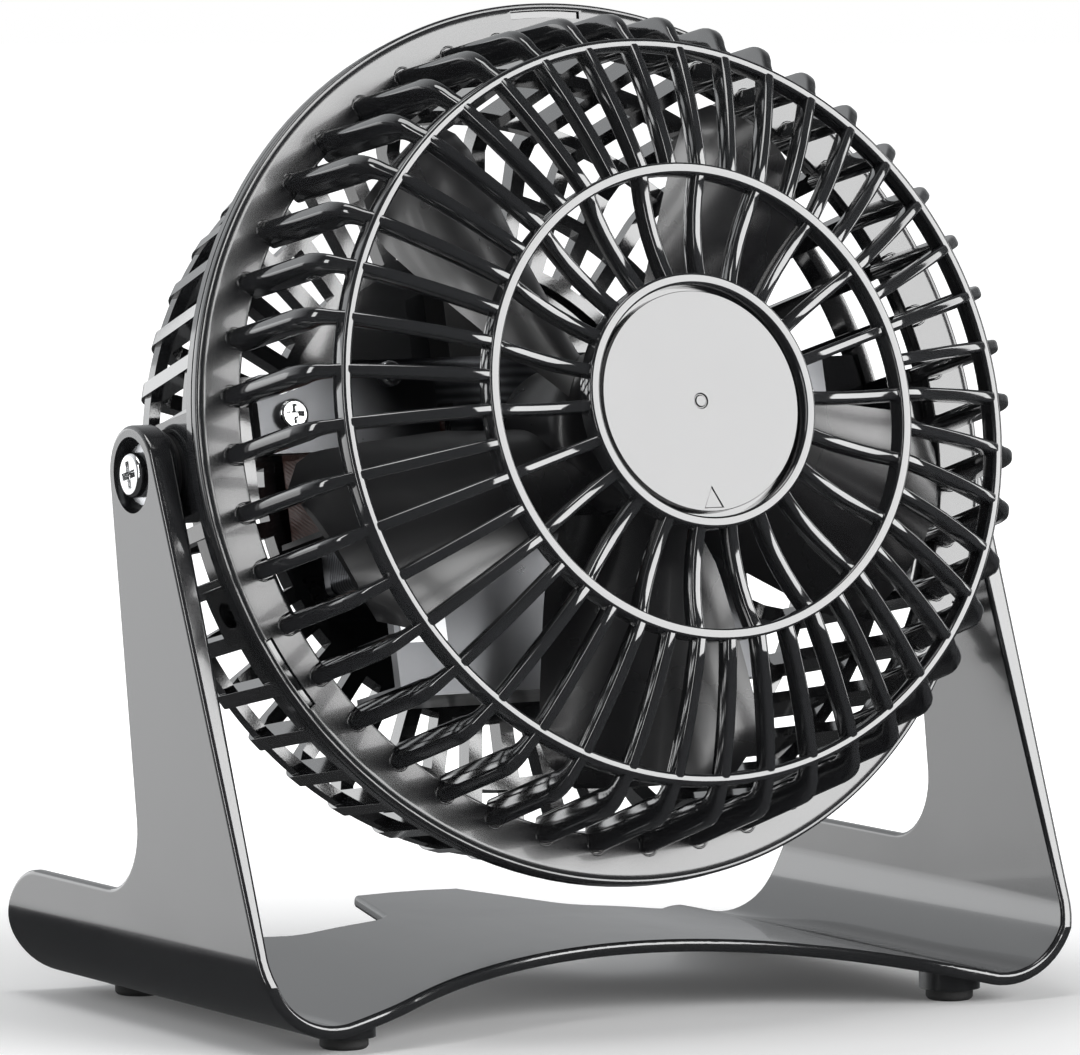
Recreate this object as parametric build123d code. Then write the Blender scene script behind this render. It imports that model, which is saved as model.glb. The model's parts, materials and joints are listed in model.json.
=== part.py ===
from build123d import *
import math
import os

# Desk fan: a round caged head tilts between the two arms of a one-piece moulded stand.
# Millimetres. X runs across the fan, -Y is the side the air leaves from, +Z is up.
# The origin is on the table, in the middle of the space the fan takes up at rest.
# The stand's own places are measured from under the pivot axis, which is PIVOT_Y behind it.

# ---- stand ----
HEAD_LIFT = 21.7
RIM_TO_ARM = 0.4
ARM_LEAN = 1.7
ARM_TOP_RADIUS = 10.4
ARM_WALL_TOP = 5.4
PIVOT_BOSS = 0.9
STAND_WALL = 2.8
CORNER_RADIUS = 17.5
CORNER_LIFT = 3.7
ARCH_HEIGHT = 13.4
STAND_FRONT = -55.0
STAND_REAR = 65.0
ARM_FRONT_LOW = 15.5
ARM_REAR_LOW = -0.7
LOW_WALL_HEIGHT = 28.5
LOW_WALL_BLEND = 14.0
LOW_WALL_REAR_RADIUS = 16.0
FRONT_BAY_DEPTH = 20.7
FRONT_BAY_SIDE = 19.1
FRONT_BAY_LIP = 40.0
TONGUE_HALF = 13.0
TONGUE_FLARE = 10.0
SCALLOP_DEPTH = 34.0
SCALLOP_SIDE = 29.1
SCALLOP_SLANT = 25.0
SCALLOP_RADIUS = 7.0
STAND_EDGE = 1.0
TONGUE_CORNER = 5.0

# ---- feet ----
FOOT_RADIUS = 5.1
FOOT_SIDE = 25.1
FOOT_FRONT_INSET = 11.8
FOOT_REAR_INSET = 15.0
FOOT_HEIGHT = 3.6
FOOT_STEM_RADIUS = 2.6
FOOT_STEM = 1.6
FOOT_BOSS_RADIUS = 6.6
FOOT_BOSS_LIFT = 2.5

# ---- head pivots ----
HEAD_TILT = 14.2
RECESS_RADIUS = 8.0
RECESS_DEPTH = 3.5
PIVOT_SCREW_DIAMETER = 5.0
PIVOT_HOLE_CLEARANCE = 0.08
PIVOT_HEAD_RADIUS = 4.75
PIVOT_HEAD_HEIGHT = 3.0
PIVOT_WASHER_RADIUS = 6.5
PIVOT_WASHER = 1.0
TURN_GAP = 0.3
FRICTION_WASHER_RADIUS = 8.5
FRICTION_WASHER = 1.0
BLOCK_LENGTH = 13.2
BLOCK_HALF = 10.5
NUT_FLATS = 8.0
NUT_THICKNESS = 4.0
NUT_SLACK = 0.1

# ---- cage, in the head's own frame: Z runs forward from the pivot axis ----
RIB_COUNT = 44
RIM_RADIUS = 95.0
RIM_FLANGE = 10.2
RIM_FRONT = 20.6
FRONT_RIM = 2.3
RIM_GROOVE = 0.3
REAR_RIM = 2.2
RIB_ROOT_INSET = 6.3
SIDE_BAR_WIDTH = 3.3
FACE_RIB_WIDTH = 2.5
RIB_DEPTH = 4.6
SIDE_TAPER = 2.4
SHOULDER_STATION = 50.6
SHOULDER_ROUND = 5.0
SHOULDER_SKEW = 1.0
SHOULDER_REACH = 7.5
SHOULDER_RISE = 4.8
MID_RING_RADIUS = 50.4
FACE_RISE = 10.1
CAP_RING_RADIUS = 26.9
RIB_CROWN = 1.0
RIB_DIP = 2.3
RING_WIDTH = 2.4
RING_DEPTH = 4.8
RING_PROUD = 0.4
RING_SOFT = 0.5
CAP_DEPTH = 4.9
CAP_FLOOR_THICKNESS = 2.2
BADGE_GAP = 1.2
BADGE_THICKNESS = 1.8
BADGE_DOT_RADIUS = 1.2
BADGE_MARK = 4.4
SNAP_INSET = 2.5
SNAP_WIDTH = 1.4
SNAP_HALF_ANGLE = 5.0
SNAP_CLEARANCE = 0.15
SNAP_ANGLES = (90, 210, 330)
REAR_TAPER = 6.7
REAR_ROUND = 7.0
WIDE_HOOP_BACK = -6.0
WIDE_HOOP = 6.0
THIN_HOOP_LIFT = 7.0
THIN_HOOP = 3.0
HOOP_THICKNESS = 2.6
HUB_PLATE_RADIUS = 52.0
HUB_PLATE = 2.6
BACK_RING_INSET = 15.0
BOSS_PLATE_HOLE = 3.0

# ---- motor ----
SHAFT_DIAMETER = 5.0
SHAFT_TAIL = 11.0
SHAFT_NOSE = 6.0
SHAFT_TO_BACK = 3.0
BEARING_RADIUS = 5.5
BEARING_LENGTH = 7.0
RUNNING_CLEARANCE = 0.03
BRACKET_PLATE = 2.5
BRACKET_FRONT = 1.5
BRACKET_HALF = 44.0
BRACKET_WINDOW = 27.0
BRACKET_TOP = 20.0
BRACKET_BOTTOM = -50.0
BRACKET_SILL = -18.0
BRACKET_FLANGE = 20.0
BRACKET_CORNER = 1.5
BOSS_RADIUS = 13.0
STRAP_END = 7.5
STRAP_LOW = 3.0
STRAP_SCREW_INSET = 17.5
STRAP_SCREW_Y = 11.0
SPACER_LENGTH = 7.0
CORE_THICKNESS = 16.0
CORE_LEFT = -44.0
CORE_RIGHT = 24.0
CORE_HALF_HEIGHT = 24.0
CORE_WINDOW_LEFT = -28.5
CORE_WINDOW_RIGHT = -19.0
CORE_WINDOW_HALF = 13.0
ROTOR_RADIUS = 11.6
ROTOR_INSET = 0.8
THRUST_RADIUS = 4.0
END_FLOAT = 0.2
AIR_GAP = 0.4
REAR_BRACKET_PLATE = 2.5
COIL_BUILD = 6.0
BOBBIN_WALL = 0.9
FLANGE_WALL = 1.2
MOTOR_SCREW_DIAMETER = 3.0
MOTOR_SCREWS = ((19.0, -20.0), (-38.0, -20.0), (-38.0, 19.0))
SHADING_LEFT = 3.0
SHADING_RIGHT = 10.0
SHADING_DEPTH = 2.0
SHADING_WIRE = 1.4
LABEL_CENTRE = (-37.0, -34.0)
LABEL_SIZE = (11.0, 9.0)

# ---- how far a cutting tool runs past the face it cuts ----
CUT_OVER = 1.0

# ---- pivot blocks ----
BLOCK_LAP = 0.5
BLOCK_FUSE = 1.0
SEAT_REACH = 5.0
SEAT_BACK = -9.0
WEB_DROP = 9.5

# ---- impeller ----
BLADE_COUNT = 5
BLADE_CLEARANCE = 6.0
IMPELLER_HUB_RADIUS = 18.0
IMPELLER_GAP = 7.5
IMPELLER_LENGTH = 27.0
IMPELLER_WALL = 2.2
BLADE_LIFT = 18.0
BLADE_THICKNESS = 1.9
BLADE_TURN = -18.0
BLADE_SINK = 1.5
BLADE_TRIM = 1.0
BLADE_RUN_BACK = 2.0
BLADE_RUN_FRONT = 6.0
# chord, pitch and camber at the root, then the share of the reach with the same three
BLADE_ROOT = (26.0, 48.0, 2.5)
BLADE_SHAPES = ((0.28, 38.0, 38.0, 3.5), (0.62, 44.0, 29.0, 4.0), (1.0, 50.0, 22.0, 4.0))
HUB_SOFT = 5.0
HUB_CROWN = 6.6
SHAFT_SOCKET_RADIUS = 6.0
SHAFT_SOCKET_INSET = 2.0
SPINNER_RADIUS = 7.0
SPINNER_CAP = 2.0
SPINNER_SOFT = 3.0

# ---- switch ----
SWITCH_CENTRE = (0.0, 34.0)
SWITCH_SIZE = (13.0, 19.0)
SWITCH_DEPTH = 11.0
SWITCH_BEZEL = 1.6
SWITCH_FIT = 0.1
BEZEL_LIP = 1.2
ROCKER_TILT = 8.0
ROCKER_PIN_RADIUS = 0.9
INLET_CENTRE = (0.0, -38.0)
INLET_RADIUS = 5.5
INLET_BORE = 3.2
INLET_LIP = 1.5
INLET_COLLAR = 2.0
INLET_PROUD = 1.5

# ---- places that follow from the sizes above ----
PIVOT_HEIGHT = RIM_RADIUS + HEAD_LIFT
ARM_OUTER_TOP = RIM_RADIUS + RIM_TO_ARM + ARM_WALL_TOP
ARM_OUTER_FOOT = ARM_OUTER_TOP - ARM_LEAN
ARM_INNER_TOP = ARM_OUTER_TOP - ARM_WALL_TOP - PIVOT_BOSS
FRONT_BAY_HALF = ARM_OUTER_FOOT - FRONT_BAY_SIDE
SCALLOP_OUTER = ARM_OUTER_FOOT - SCALLOP_SIDE
SCALLOP_INNER = SCALLOP_OUTER - SCALLOP_SLANT
SCALLOP_BOTTOM = STAND_REAR - SCALLOP_DEPTH
FOOT_X = ARM_OUTER_FOOT - FOOT_SIDE
FOOT_FRONT = STAND_FRONT + FOOT_FRONT_INSET
FOOT_REAR = STAND_REAR - FOOT_REAR_INSET
PIVOT_HOLE_RADIUS = PIVOT_SCREW_DIAMETER / 2 + PIVOT_HOLE_CLEARANCE
BLOCK_OUTER = ARM_INNER_TOP - TURN_GAP - FRICTION_WASHER
BLOCK_INNER = BLOCK_OUTER - BLOCK_LENGTH
RIM_INNER = RIM_RADIUS - RIM_FLANGE
RIM_SPLIT = RIM_FRONT - FRONT_RIM
REAR_RIM_FRONT = RIM_SPLIT - RIM_GROOVE
REAR_RIM_BACK = REAR_RIM_FRONT - REAR_RIM
SNAP_RADIUS = RIM_RADIUS - SNAP_INSET
RIB_ROOT_RADIUS = RIM_RADIUS - RIB_ROOT_INSET
SHOULDER_RADIUS = RIB_ROOT_RADIUS - SIDE_TAPER
FRONT_RING_RADIUS = SHOULDER_RADIUS - SHOULDER_REACH
FRONT_RING_STATION = SHOULDER_STATION + SHOULDER_RISE
MID_RING_STATION = FRONT_RING_STATION + FACE_RISE
CAP_FLOOR = MID_RING_STATION - CAP_DEPTH
BADGE_RADIUS = CAP_RING_RADIUS - RING_WIDTH - BADGE_GAP
REAR_CORNER_RADIUS = RIB_ROOT_RADIUS - REAR_TAPER
BACK_RING_RADIUS = REAR_CORNER_RADIUS - BACK_RING_INSET
STEP_ANGLE = 360 / RIB_COUNT
BRACKET_BACK = BRACKET_FRONT - BRACKET_PLATE
STRAP_SCREW_X = BLOCK_INNER - STRAP_SCREW_INSET
STRAP_HALF_LENGTH = STRAP_SCREW_X + STRAP_END
CORE_FRONT = BRACKET_BACK - SPACER_LENGTH
CORE_BACK = CORE_FRONT - CORE_THICKNESS
REAR_BRACKET_BACK = CORE_BACK - REAR_BRACKET_PLATE
ROTOR_FRONT = CORE_FRONT - ROTOR_INSET
ROTOR_BACK = CORE_BACK + ROTOR_INSET
SHAFT_REAR = CORE_BACK - SHAFT_TAIL
REAR_FACE = SHAFT_REAR - SHAFT_TO_BACK
THIN_HOOP_BACK = REAR_FACE + THIN_HOOP_LIFT
IMPELLER_BACK = BRACKET_FRONT + IMPELLER_GAP
IMPELLER_FRONT = IMPELLER_BACK + IMPELLER_LENGTH
SHAFT_FRONT = IMPELLER_FRONT + SHAFT_NOSE
BLADE_CENTRE = IMPELLER_BACK + BLADE_LIFT
BLADE_TIP = REAR_CORNER_RADIUS - BLADE_CLEARANCE

TILT_COS = math.cos(math.radians(HEAD_TILT))
TILT_SIN = math.sin(math.radians(HEAD_TILT))
HEAD_REACH = (MID_RING_STATION + RING_PROUD) * TILT_COS + (MID_RING_RADIUS - RING_SOFT) * TILT_SIN
PIVOT_Y = (HEAD_REACH - STAND_REAR) / 2
STAND_FRAME = Pos(0, PIVOT_Y, 0)
HEAD_FRAME = Plane(origin=(0, PIVOT_Y, PIVOT_HEIGHT), x_dir=(1, 0, 0), z_dir=(0, -TILT_COS, TILT_SIN))


# ---------------------------------------------------------------- helpers
def annulus(outer, inner, back, front):
    """A flat ring round Z between two stations."""
    ring = Circle(outer) - Circle(inner)
    return Pos(0, 0, back) * extrude(ring, front - back)


def disc(radius, back, front, x=0.0, y=0.0):
    """A cylinder along Z between two stations."""
    return Pos(x, y, back) * extrude(Circle(radius), front - back)


def slab(x0, x1, y0, y1, z0, z1):
    """A box between two corners."""
    return Pos((x0 + x1) / 2, (y0 + y1) / 2, (z0 + z1) / 2) * Box(x1 - x0, y1 - y0, z1 - z0)


def rod_x(radius, x0, x1, y=0.0, z=0.0):
    """A cylinder along X between two places."""
    return Pos((x0 + x1) / 2, y, z) * Rot(0, 90, 0) * Cylinder(radius, abs(x1 - x0))


def spin(profile_points):
    """Turn a closed outline of (radius, station) points round Z."""
    outline = Polyline(*[(r, 0, z) for r, z in profile_points], close=True)
    return revolve(Face(Wire(outline.edges())), Axis.Z, 360)


def radial_rib(outline_edges, width):
    """A flat rib standing in the XZ plane, of an even width."""
    return extrude(Face(Wire(outline_edges)), width / 2, dir=(0, 1, 0), both=True)


def group(shapes):
    """Several separate solids kept in one node."""
    solids = []
    for shape in shapes:
        solids.extend(shape.solids())
    return solids[0] if len(solids) == 1 else Compound(children=solids)


def both_sides(shape):
    """A shape and its mirror image across the YZ plane, as separate solids."""
    return group([shape, mirror(shape, about=Plane.YZ)])


def placed(frame, shape):
    """A node moved into a frame, solid by solid."""
    return group([frame * solid for solid in shape.solids()])


def cross_recess(size, depth):
    """The cut for a cross-point driver, opening at the plane Z = 0 and going down."""
    blade = Pos(0, 0, -depth / 2) * Box(size, size * 0.24, depth)
    return blade + Rot(0, 0, 90) * blade


def pan_screw(head_radius, head_height, shank_radius, length, crown=0.35):
    """A cross-head pan screw along -Z, with the underside of its head at Z = 0."""
    head = extrude(Circle(head_radius), head_height)
    head = fillet(head.edges().sort_by(Axis.Z)[-1], head_height * crown)
    head -= Pos(0, 0, head_height) * cross_recess(head_radius * 1.2, head_height * 0.55)
    shank = Pos(0, 0, -length) * extrude(Circle(shank_radius), length)
    return head + shank


# ---------------------------------------------------------------- stand
def floor_arch():
    """Radius of the floor's underside and the height of its centre; it meets the corners smoothly."""
    corner_x = ARM_OUTER_FOOT - CORNER_RADIUS
    rise = CORNER_LIFT + CORNER_RADIUS - ARCH_HEIGHT
    arch = (corner_x**2 + rise**2 - CORNER_RADIUS**2) / (2 * (CORNER_RADIUS - rise))
    return (arch, ARCH_HEIGHT - arch)


def stand_section():
    """Half of the stand's front view: arched floor, round corner and leaning arm wall."""
    corner_x = ARM_OUTER_FOOT - CORNER_RADIUS
    corner_z = CORNER_LIFT + CORNER_RADIUS
    arch, arch_z = floor_arch()
    lean = math.atan2(corner_x, corner_z - arch_z)

    def on_arch(radius, angle):
        return (radius * math.sin(angle), 0, arch_z + radius * math.cos(angle))

    def on_corner(radius, angle):
        return (corner_x + radius * math.cos(angle), 0, corner_z + radius * math.sin(angle))

    join = -math.pi / 2 - lean
    inner = CORNER_RADIUS - STAND_WALL
    top = PIVOT_HEIGHT + ARM_TOP_RADIUS + 5
    lean_rate = (ARM_OUTER_TOP - ARM_OUTER_FOOT) / (PIVOT_HEIGHT - corner_z)
    draft_rate = (ARM_WALL_TOP - STAND_WALL) / (PIVOT_HEIGHT - corner_z)
    outer_top = ARM_OUTER_FOOT + lean_rate * (top - corner_z)
    inner_top = outer_top - STAND_WALL - draft_rate * (top - corner_z)
    floor_under = ThreePointArc(on_arch(arch, 0), on_arch(arch, lean / 2), on_arch(arch, lean))
    corner_under = ThreePointArc(
        on_corner(CORNER_RADIUS, join), on_corner(CORNER_RADIUS, join / 2), on_corner(CORNER_RADIUS, 0)
    )
    arm_outside = Line(on_corner(CORNER_RADIUS, 0), (outer_top, 0, top))
    arm_end = Line((outer_top, 0, top), (inner_top, 0, top))
    arm_inside = Line((inner_top, 0, top), on_corner(inner, 0))
    corner_over = ThreePointArc(on_corner(inner, 0), on_corner(inner, join / 2), on_corner(inner, join))
    over = arch + STAND_WALL
    floor_over = ThreePointArc(on_arch(over, lean), on_arch(over, lean / 2), on_arch(over, 0))
    middle = Line(on_arch(over, 0), on_arch(arch, 0))
    edges = [floor_under, corner_under, arm_outside, arm_end, arm_inside, corner_over, floor_over, middle]
    return Face(Wire([piece.edge() for piece in edges]))


def tangent_on_arm_top(y, z, side):
    """Where a line from (y, z) touches the round top of the arm, seen from the side."""
    away = math.hypot(y, PIVOT_HEIGHT - z)
    towards = math.atan2(PIVOT_HEIGHT - z, -y)
    bend = math.asin(ARM_TOP_RADIUS / away)
    reach = math.sqrt(away**2 - ARM_TOP_RADIUS**2)
    angle = towards + side * bend
    return (y + reach * math.cos(angle), z + reach * math.sin(angle))


def stand_side():
    """The stand seen from the side: raked arms that drop to a low wall at the rear."""
    front_foot = (STAND_FRONT, ARM_FRONT_LOW)
    rear_foot = (ARM_REAR_LOW, LOW_WALL_HEIGHT)
    arm = Polygon(
        (STAND_FRONT, 0),
        (ARM_REAR_LOW, 0),
        rear_foot,
        tangent_on_arm_top(*rear_foot, -1),
        (0, PIVOT_HEIGHT),
        tangent_on_arm_top(*front_foot, 1),
        front_foot,
        align=None,
    )
    arm += Pos(0, PIVOT_HEIGHT) * Circle(ARM_TOP_RADIUS)
    low_wall = Polygon(
        (STAND_FRONT / 2, 0),
        (STAND_REAR, 0),
        (STAND_REAR, LOW_WALL_HEIGHT),
        (STAND_FRONT / 2, LOW_WALL_HEIGHT),
        align=None,
    )
    side = arm + low_wall
    inside = side.vertices().sort_by_distance((ARM_REAR_LOW, LOW_WALL_HEIGHT, 0))[0]
    side = fillet(inside, LOW_WALL_BLEND)
    outside = side.vertices().sort_by_distance((STAND_REAR, LOW_WALL_HEIGHT, 0))[0]
    side = fillet(outside, LOW_WALL_REAR_RADIUS)
    return extrude(Plane.YZ * side, 2 * ARM_OUTER_TOP, both=True)


def front_bay():
    """The hollow front edge of the floor: one wide arc that flares into the corners."""
    radii = (FRONT_BAY_HALF**2 + FRONT_BAY_DEPTH**2) / (2 * FRONT_BAY_DEPTH)
    bay_radius = radii - FRONT_BAY_LIP
    bay_y = STAND_FRONT + FRONT_BAY_DEPTH - bay_radius
    lip_y = STAND_FRONT + FRONT_BAY_LIP
    turn = math.atan2(FRONT_BAY_HALF, lip_y - bay_y)
    join = (bay_radius * math.sin(turn), bay_y + bay_radius * math.cos(turn))
    lip = (
        FRONT_BAY_HALF - FRONT_BAY_LIP * math.sin(turn / 2),
        lip_y - FRONT_BAY_LIP * math.cos(turn / 2),
    )
    end = (FRONT_BAY_HALF, STAND_FRONT)
    out = 10.0
    edges = [
        ThreePointArc((-join[0], join[1]), (0, bay_y + bay_radius), join),
        ThreePointArc(join, lip, end),
        Line(end, (end[0], STAND_FRONT - out)),
        Line((end[0], STAND_FRONT - out), (-end[0], STAND_FRONT - out)),
        Line((-end[0], STAND_FRONT - out), (-end[0], STAND_FRONT)),
        ThreePointArc((-end[0], end[1]), (-lip[0], lip[1]), (-join[0], join[1])),
    ]
    bay = Face(Wire([piece.edge() for piece in edges]))
    return extrude(bay, PIVOT_HEIGHT, dir=(0, 0, 1))


def rear_scallop():
    """One of the two bays in the rear edge, which leave a tongue between them."""
    past = STAND_REAR + 10
    bay = Polygon(
        (TONGUE_HALF, past),
        (TONGUE_HALF, STAND_REAR),
        (TONGUE_HALF + TONGUE_FLARE, SCALLOP_BOTTOM),
        (SCALLOP_INNER, SCALLOP_BOTTOM),
        (SCALLOP_OUTER, STAND_REAR),
        (SCALLOP_OUTER, past),
        align=None,
    )
    deep = [v for v in bay.vertices() if abs(v.Y - SCALLOP_BOTTOM) < 0.01]
    bay = fillet(deep, SCALLOP_RADIUS)
    return extrude(bay, PIVOT_HEIGHT, dir=(0, 0, 1))


def foot_places():
    """The four feet, as (x, y)."""
    return [(side * FOOT_X, y) for side in (-1, 1) for y in (FOOT_FRONT, FOOT_REAR)]


def stand():
    """The moulded stand: an arched floor and two arms in one bent band."""
    half = extrude(stand_section(), STAND_REAR - STAND_FRONT, dir=(0, 1, 0))
    half = Pos(0, STAND_FRONT, 0) * half
    band = half + mirror(half, about=Plane.YZ)
    band = band & stand_side()
    band -= front_bay()
    band -= rear_scallop()
    band -= mirror(rear_scallop(), about=Plane.YZ)
    rear_corners = band.edges().filter_by(Axis.Z).group_by(Axis.Y)[-1]
    band = fillet(rear_corners, TONGUE_CORNER)
    band = fillet(band.edges(), STAND_EDGE)
    roof = ARCH_HEIGHT + STAND_WALL / 2
    for x, y in foot_places():
        boss = disc(FOOT_BOSS_RADIUS, FOOT_BOSS_LIFT, roof, x, y)
        band += boss & floor_filler()
        band -= disc(FOOT_RADIUS, 0, FOOT_HEIGHT, x, y)
        band -= disc(FOOT_STEM_RADIUS, 0, FOOT_HEIGHT + FOOT_STEM, x, y)
    recess_floor = ARM_OUTER_TOP - RECESS_DEPTH
    for side in (-1, 1):
        band += rod_x(ARM_TOP_RADIUS - STAND_EDGE, side * ARM_INNER_TOP, side * recess_floor, z=PIVOT_HEIGHT)
        band -= rod_x(RECESS_RADIUS, side * recess_floor, side * (ARM_OUTER_TOP + 5), z=PIVOT_HEIGHT)
        band -= rod_x(PIVOT_HOLE_RADIUS, side * BLOCK_OUTER, side * (ARM_OUTER_TOP + 5), z=PIVOT_HEIGHT)
    return band


def floor_filler():
    """Everything below the top of the arched floor, which trims the foot bosses."""
    arch, arch_z = floor_arch()
    return Pos(0, 0, arch_z) * Rot(90, 0, 0) * Cylinder(arch + STAND_WALL / 2, 4 * STAND_REAR)


def rubber_feet():
    """Four soft feet, each with a stem that presses into the floor."""
    feet = []
    for x, y in foot_places():
        foot = disc(FOOT_RADIUS, 0, FOOT_HEIGHT, x, y)
        foot = chamfer(foot.edges().sort_by(Axis.Z)[0], 0.6)
        feet.append(foot + disc(FOOT_STEM_RADIUS, FOOT_HEIGHT, FOOT_HEIGHT + FOOT_STEM, x, y))
    return group(feet)


# ---------------------------------------------------------------- cage
def side_bend():
    """Where a front rib's side bar ends and its shoulder starts, as (radius, station)."""
    side_slope = SIDE_TAPER / (SHOULDER_STATION - RIM_SPLIT)
    return (SHOULDER_RADIUS + side_slope * SHOULDER_ROUND, SHOULDER_STATION - SHOULDER_ROUND)


def side_bar_edges():
    """The outline of the part of a front rib that runs up the side of the cage."""
    bend_r, bend_z = side_bend()
    root_r = RIB_ROOT_RADIUS
    corners = [
        (root_r - RIB_DEPTH, 0, RIM_SPLIT),
        (root_r, 0, RIM_SPLIT),
        (bend_r, 0, bend_z),
        (bend_r - RIB_DEPTH, 0, bend_z - SHOULDER_SKEW),
    ]
    return Polyline(*corners, close=True).edges()


def front_rib(inner_end):
    """A whole front rib: a wide side bar, then a narrower rib over the face."""
    face_rib = radial_rib(front_rib_edges(inner_end), FACE_RIB_WIDTH)
    return face_rib + radial_rib(side_bar_edges(), SIDE_BAR_WIDTH)


def front_rib_edges(inner_end):
    """A front rib's outline: up the side, round the shoulder, over the face to a ring."""
    root_back = RIM_SPLIT
    bend_r, bend_z = side_bend()
    ring_r = FRONT_RING_RADIUS
    ring_z = FRONT_RING_STATION
    inner_shift = RIB_DEPTH
    deep = RING_DEPTH - RING_PROUD
    mid_r = MID_RING_RADIUS
    mid_z = MID_RING_STATION
    half_r = (ring_r + mid_r) / 2
    half_z = (ring_z + mid_z) / 2 + RIB_CROWN
    over = (ring_r + SHOULDER_REACH / 3, 0, ring_z - SHOULDER_RISE / 2)
    turn = (SHOULDER_RADIUS - SHOULDER_SKEW, 0, SHOULDER_STATION - SHOULDER_SKEW)
    edges = [
        Line((RIB_ROOT_RADIUS - inner_shift, 0, root_back), (RIB_ROOT_RADIUS, 0, root_back)),
        Line((RIB_ROOT_RADIUS, 0, root_back), (bend_r, 0, bend_z)),
        ThreePointArc((bend_r, 0, bend_z), turn, over),
        Line(over, (ring_r, 0, ring_z)),
        ThreePointArc((ring_r, 0, ring_z), (half_r, 0, half_z), (mid_r, 0, mid_z)),
    ]
    if inner_end < mid_r - RING_WIDTH:
        dip_r = (mid_r + inner_end) / 2
        dip = (dip_r, 0, mid_z - RIB_DIP)
        under_dip = (dip_r, 0, mid_z - RIB_DIP - deep)
        edges.append(ThreePointArc((mid_r, 0, mid_z), dip, (inner_end, 0, mid_z)))
        edges.append(Line((inner_end, 0, mid_z), (inner_end, 0, mid_z - deep)))
        edges.append(ThreePointArc((inner_end, 0, mid_z - deep), under_dip, (mid_r, 0, mid_z - deep)))
    else:
        edges.append(Line((mid_r, 0, mid_z), (inner_end, 0, mid_z)))
        edges.append(Line((inner_end, 0, mid_z), (inner_end, 0, mid_z - deep)))
        edges.append(Line((inner_end, 0, mid_z - deep), (mid_r, 0, mid_z - deep)))
    under_half = (half_r - 0.3 * RING_WIDTH, 0, half_z - deep)
    under_ring = (ring_r - 0.7 * RING_WIDTH, 0, ring_z - deep)
    under_turn = (bend_r - inner_shift, 0, bend_z - SHOULDER_SKEW)
    edges.append(ThreePointArc((mid_r, 0, mid_z - deep), under_half, under_ring))
    edges.append(Line(under_ring, under_turn))
    edges.append(Line(under_turn, (RIB_ROOT_RADIUS - inner_shift, 0, root_back)))
    return [piece.edge() for piece in edges]


def ring(outer, front, depth):
    """One of the front rings, a little proud of the ribs, with softened front corners."""
    top = front + RING_PROUD
    soft = RING_SOFT
    inner = outer - RING_WIDTH
    return spin([
        (inner, front - depth),
        (outer, front - depth),
        (outer, top - soft),
        (outer - soft, top),
        (inner + soft, top),
        (inner, top - soft),
    ])


def snap_arc(radius, width, half_angle, back, front, angle):
    """A short curved bar round Z, centred on an angle."""
    bar = annulus(radius + width / 2, radius - width / 2, back, front)
    reach = 2 * radius
    edge = reach * math.tan(math.radians(half_angle))
    wedge = Polygon((0, 0), (reach, -edge), (reach, edge), align=None)
    wedge = Pos(0, 0, back) * extrude(wedge, front - back)
    return Rot(0, 0, angle) * (bar & wedge)


def front_guard():
    """Front half of the cage: rim, side bars, face ribs, three rings and the cap floor."""
    guard = annulus(RIM_RADIUS, RIM_INNER, RIM_SPLIT, RIM_FRONT)
    guard += ring(FRONT_RING_RADIUS + RING_PROUD, FRONT_RING_STATION, RING_DEPTH)
    guard += ring(MID_RING_RADIUS, MID_RING_STATION, RING_DEPTH)
    guard += ring(CAP_RING_RADIUS, MID_RING_STATION, MID_RING_STATION - CAP_FLOOR)
    guard += disc(CAP_RING_RADIUS - RING_WIDTH / 2, CAP_FLOOR, CAP_FLOOR + CAP_FLOOR_THICKNESS)
    long_rib = front_rib(CAP_RING_RADIUS - RING_WIDTH / 2)
    short_rib = front_rib(MID_RING_RADIUS - RING_WIDTH / 2)
    ribs = [Rot(0, 0, i * STEP_ANGLE) * (short_rib if i % 2 else long_rib) for i in range(RIB_COUNT)]
    guard = guard.fuse(*ribs)
    for angle in SNAP_ANGLES:
        slot_width = SNAP_WIDTH + 2 * SNAP_CLEARANCE
        guard -= snap_arc(SNAP_RADIUS, slot_width, SNAP_HALF_ANGLE + 0.2, RIM_SPLIT, RIM_FRONT, angle)
    return guard


def front_badge():
    """The plain disc in the cap, with a centre pip and a small pointer."""
    back = CAP_FLOOR + CAP_FLOOR_THICKNESS
    front = back + BADGE_THICKNESS
    badge = disc(BADGE_RADIUS, back, front)
    badge -= disc(BADGE_DOT_RADIUS + 0.4, front - 0.3, front)
    badge += disc(BADGE_DOT_RADIUS, front - 0.3, front)
    low = -BADGE_RADIUS + 0.8
    mark = Polygon((-BADGE_MARK / 2, low), (BADGE_MARK / 2, low), (0, low + BADGE_MARK), align=None)
    badge -= Pos(0, 0, front - 0.3) * extrude(mark, 1)
    return badge


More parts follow.
